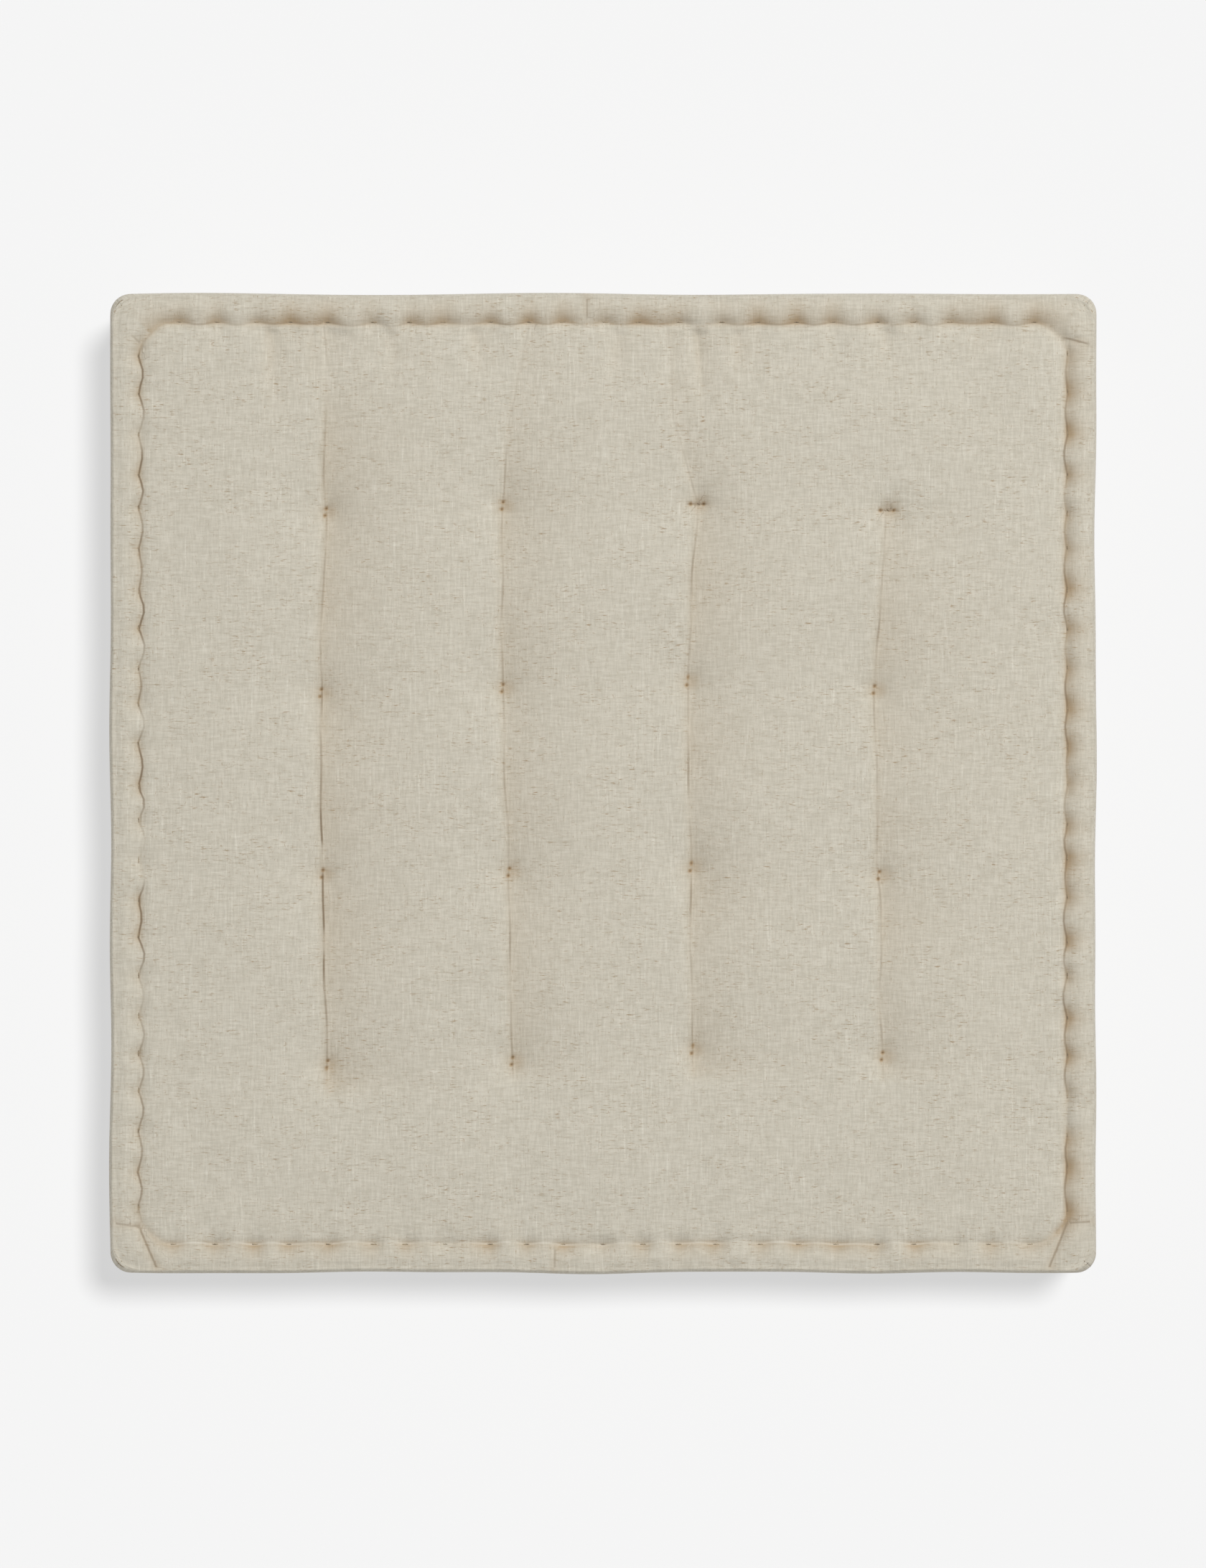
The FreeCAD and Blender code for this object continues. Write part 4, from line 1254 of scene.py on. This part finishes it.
class CUSHION_OT_filling(bpy.types.Operator):
    """Cuts the foam core and wraps it in six pieces of batting"""

    bl_idname = "cushion.filling"
    bl_label = "Filling"

    def execute(self, context):
        sizes = context.scene.cushion_sizes
        cotton = carded_cotton("#EAE5D8")
        panel = bpy.data.objects["linen_panel_top"]
        for face in ("top", "bottom"):
            fill_face(f"batting_sheet_{face}", face, panel, cotton)
        for side in SIDES:
            fill_side(f"batting_strip_{side}", side, sizes, cotton)

        foam = block(CORE_LOW, CORE_HIGH, ((8, 6), (8, 6), (9,)))
        arris = foam.modifiers.new("Arris", "BEVEL")
        arris.width = 3 * MM
        arris.segments = 3
        arris.limit_method = "ANGLE"
        finish_modifier(foam, arris.name)
        points = points_of(foam)
        x, y, up = points.T
        face = np.sign(up - HEIGHT / 2)
        outer = smooth_step(30 * MM, 48 * MM, np.abs(up - HEIGHT / 2))
        points[:, 2] -= face * outer * 8 * MM * bump(from_tufts(x * face, y), 17 * MM)
        set_points(foam, points)
        finish_filling(foam, "foam_block", "foam_core", cut_foam("#E8DDBE"))
        return {"FINISHED"}


class CUSHION_OT_tuft_ties(bpy.types.Operator):
    """Ties the sixteen tufts, each with one loop of twine through the whole cushion"""

    bl_idname = "cushion.tuft_ties"
    bl_label = "Tuft ties"

    def execute(self, context):
        twine = spun_yarn("waxed_flax_twine", context.scene.cushion_colours.twine, 3.2 * MM)
        cover = outer_wall(["linen_panel_top"])
        low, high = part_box("tuft_tie_row1_col1")
        radius = 0.5 * (high.x - low.x)
        for (row, column), (x, y) in TUFTS.items():
            under_x, under_y = TUFTS[row, 3 - column]
            top, out = np.array((x, y, 0)), np.array((*tack((row, column)), 0))
            under = np.array((under_x, under_y, 0))
            under_out = np.array((*tack((row, 3 - column)), 0))
            sink = np.array((0, 0, -0.7 * radius))
            first, second, third, fourth = (
                strike(cover, (*place[:2], 2 * HEIGHT), (0, 0, -1)) + sink
                for place in (top + out, top - out, under - under_out, under + under_out))
            third, fourth = turned_over(third), turned_over(fourth)
            lead = np.array((-1, 1, 1)) * under_out / np.linalg.norm(under_out)
            knot_middle = (third + fourth) / 2
            knot = []
            turns, pieces = 2, 10
            for index in range(turns * pieces + 1):
                angle = 2 * math.pi * index / pieces
                slide = (index / (turns * pieces) - 0.5) * 2 * radius
                ring = np.cross(lead, (0, 0, 1)) * math.sin(angle) + (0, 0, math.cos(angle))
                knot.append(knot_middle + slide * lead + 1.7 * radius * ring)
            corners = [first, second, third, *knot, fourth]
            path = soften(corners, step=0.7 * MM, closed=True)
            tie = lay_thread(path, radius, 4.2 * MM, closed=True)
            finish_thread(tie, f"tuft_tie_row{row + 1}_col{column + 1}", twine)
        return {"FINISHED"}


class CUSHION_OT_roll_stitches(bpy.types.Operator):
    """Sews the running stitches that shape the rolled edges"""

    bl_idname = "cushion.roll_stitches"
    bl_label = "Roll stitches"

    def execute(self, context):
        sizes = context.scene.cushion_sizes
        thread = spun_yarn("linen_thread", context.scene.cushion_colours.thread, 2.2 * MM)
        panel = outer_wall(["linen_panel_top"])
        bands = outer_wall([f"linen_band_{side}" for side in SIDES])
        radius = 0.5 * MM
        dash = 5 * MM
        # How far the thread is pressed into the cloth in the groove, and stands out of the band.
        sink, stand = 0.85 * radius, 0.3 * radius
        for side in SIDES:
            out = np.array((*OUTWARD[side], 0.0))
            along = np.array((abs(out[1]), abs(out[0]), 0.0))
            half = HALF_WIDTH if side in ("right", "left") else HALF_DEPTH
            inner = out * (half - sizes.roll_width) + (0, 0, 2 * HEIGHT)
            outer = out * (half + 20 * MM) + (0, 0, BAND_GROOVE)
            corners = []
            for mark in stitch_line(side, sizes.stitch_pitch):
                for step in (-dash / 2, dash / 2):
                    place = along * (mark + step)
                    tip = strike(panel, place + inner, (0, 0, -1)) - (0, 0, sink)
                    base = strike(bands, place + outer, -out) + out * stand
                    corners += [base, tip] if step < 0 else [tip, base]
            path = soften(corners)
            for face, points, node_side in (
                ("top", path, side), ("bottom", turned_over(path), PARTNER[side])):
                stitches = lay_thread(points, radius, 2.8 * MM)
                finish_thread(stitches, f"roll_stitch_{face}_{node_side}", thread)
        return {"FINISHED"}


class CUSHION_OT_seam_threads(bpy.types.Operator):
    """Runs the lockstitch threads along the seams, inside the cover"""

    bl_idname = "cushion.seam_threads"
    bl_label = "Seam threads"

    def execute(self, context):
        thread = spun_yarn("linen_thread", context.scene.cushion_colours.thread, 2.2 * MM)
        stitch = 3.2 * MM
        for face in ("top", "bottom"):
            low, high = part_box(f"seam_thread_{face}")
            radius = (high.z - low.z) / 2
            half_x, half_y, up = high.x - radius, high.y - radius, (low.z + high.z) / 2
            turn = UPRIGHT_RADIUS - (HALF_WIDTH - half_x)
            corners = []
            for number, (across, deep) in enumerate(((1, -1), (1, 1), (-1, 1), (-1, -1))):
                for step in range(7):
                    angle = math.pi / 2 * (number - 1 + step / 6)
                    corners.append((
                        across * (half_x - turn) + turn * math.cos(angle),
                        deep * (half_y - turn) + turn * math.sin(angle), up))
            path = soften(corners, closed=True)
            wave = np.arange(len(path)) * 0.8 * MM / stitch
            path[:, 2] += 0.25 * radius * np.sin(2 * math.pi * wave)
            loop = lay_thread(path, 0.8 * radius, 2.8 * MM, closed=True)
            finish_thread(loop, f"seam_thread_{face}", thread)
        for corner in ("front_left", "front_right", "back_right", "back_left"):
            low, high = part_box(f"seam_thread_{corner}")
            radius = (high.x - low.x) / 2
            middle = (low + high) / 2
            ends = [(middle.x, middle.y, low.z), (middle.x, middle.y, high.z)]
            path = soften(ends)
            path[:, 0] += 0.25 * radius * np.sin(2 * math.pi * path[:, 2] / stitch)
            upright = lay_thread(path, 0.8 * radius, 2.8 * MM)
            finish_thread(upright, f"seam_thread_{corner}", thread)
        return {"FINISHED"}


# How much of the picture's width the cushion fills.
SHARE_OF_FRAME = 0.81726


class CUSHION_OT_stage(bpy.types.Operator):
    """Lays the floor, and sets the lights and the camera that looks straight down"""

    bl_idname = "cushion.stage"
    bl_label = "Stage"

    def execute(self, context):
        scene = context.scene
        cushion = bpy.data.collections.new("lit_by_the_key")
        for piece in scene.objects:
            if piece.type == "MESH":
                cushion.objects.link(piece)
        settle()
        bpy.ops.mesh.primitive_plane_add(size=24, location=(0, 0, 0))
        floor = context.object
        floor.name = "studio_floor"
        floor.data.materials.append(lit_diffuser("lit_floor", scene.cushion_colours, 0.63))
        floor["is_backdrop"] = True
        settle()
        bpy.ops.mesh.primitive_cylinder_add(
            vertices=64, radius=11.9, depth=16, end_fill_type="NOTHING", location=(0, 0, 7.9))
        wall = context.object
        wall.name = "studio_wall"
        wall.data.materials.append(lit_diffuser("lit_wall", scene.cushion_colours, 0.89))
        # The wall is only there to be seen: it lights nothing and shades nothing.
        wall.visible_diffuse = wall.visible_glossy = wall.visible_shadow = False
        wall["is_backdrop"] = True
        floor_only = bpy.data.collections.new("lit_by_the_ceiling")
        floor_only.objects.link(floor)

        scene.view_settings.view_transform = "Standard"
        world = bpy.data.worlds.new("dim_room")
        scene.world = world
        world.use_nodes = True
        dome = world.node_tree.nodes["Background"]
        dome.inputs["Color"].default_value = (1, 1, 1, 1)
        dome.inputs["Strength"].default_value = 0.12

        # The floor sheet is dark but glows, so little of the light on it comes from lamps. It
        # has a lamp of its own, strong enough for the cushion's shadow to show on it. The key
        # is near enough for the far side of the cushion to be a little darker. Each lamp's
        # size is in degrees for a sun and in metres for the key, and it stands at an azimuth
        # from +X towards +Y and an elevation.
        for name, kind, strength, size, azimuth, elevation, receivers in (
            ("ceiling", "SUN", 8.4, 9, 45, 76.3, floor_only),
            ("overhead", "SUN", 1.0, 60, 45, 80, cushion),
            ("softbox", "SUN", 0.85, 150, 45, 88, cushion),
            ("key", "AREA", 112, 2.2, 52, 46, cushion),
        ):
            settle()
            bpy.ops.object.light_add(type=kind)
            lamp = context.object
            lamp.name = lamp.data.name = name
            lamp.data.energy = strength
            if kind == "SUN":
                lamp.data.angle = math.radians(size)
            else:
                lamp.data.shape = "DISK"
                lamp.data.size = size
            azimuth, elevation = math.radians(azimuth), math.radians(elevation)
            towards = Vector((
                math.cos(elevation) * math.cos(azimuth), math.cos(elevation) * math.sin(azimuth),
                math.sin(elevation)))
            lamp.location = 5.5 * towards
            lamp.rotation_euler = towards.to_track_quat("Z", "Y").to_euler()
            lamp.light_linking.receiver_collection = receivers

        frame_width = 2 * HALF_WIDTH / SHARE_OF_FRAME
        distance = 6.0
        camera_data = bpy.data.cameras.new("camera_above")
        camera_data.sensor_fit = "HORIZONTAL"
        camera_data.sensor_width = 36
        camera_data.lens = 36 * (distance - WIDEST) / frame_width
        camera = bpy.data.objects.new("camera_above", camera_data)
        # The cushion lies a hair behind the middle of the picture.
        camera.location = (0, -0.45 * MM, distance)
        scene.collection.objects.link(camera)
        scene.camera = camera
        return {"FINISHED"}


class CUSHION_PT_build(bpy.types.Panel):
    """Lists the cushion's pieces in the order they are made"""

    bl_idname = "CUSHION_PT_build"
    bl_label = "Floor cushion"
    bl_space_type = "VIEW_3D"
    bl_region_type = "UI"
    bl_category = "Cushion"

    def draw(self, context):
        layout = self.layout
        for group in (context.scene.cushion_sizes, context.scene.cushion_colours):
            for name in group.__annotations__:
                layout.prop(group, name)
        for operator in OPERATORS:
            layout.operator(operator.bl_idname)


OPERATORS = (
    CUSHION_OT_cover, CUSHION_OT_filling, CUSHION_OT_tuft_ties, CUSHION_OT_roll_stitches,
    CUSHION_OT_seam_threads, CUSHION_OT_stage,
)
CLASSES = (CushionSizes, CushionColours, *OPERATORS, CUSHION_PT_build)


def register():
    for each in CLASSES:
        bpy.utils.register_class(each)
    bpy.types.Scene.cushion_sizes = bpy.props.PointerProperty(type=CushionSizes)
    bpy.types.Scene.cushion_colours = bpy.props.PointerProperty(type=CushionColours)


def unregister():
    del bpy.types.Scene.cushion_colours
    del bpy.types.Scene.cushion_sizes
    for each in reversed(CLASSES):
        bpy.utils.unregister_class(each)


def main():
    register()
    for operator in OPERATORS:
        group, name = operator.bl_idname.split(".")
        getattr(getattr(bpy.ops, group), name)()


if __name__ == "__main__":
    main()
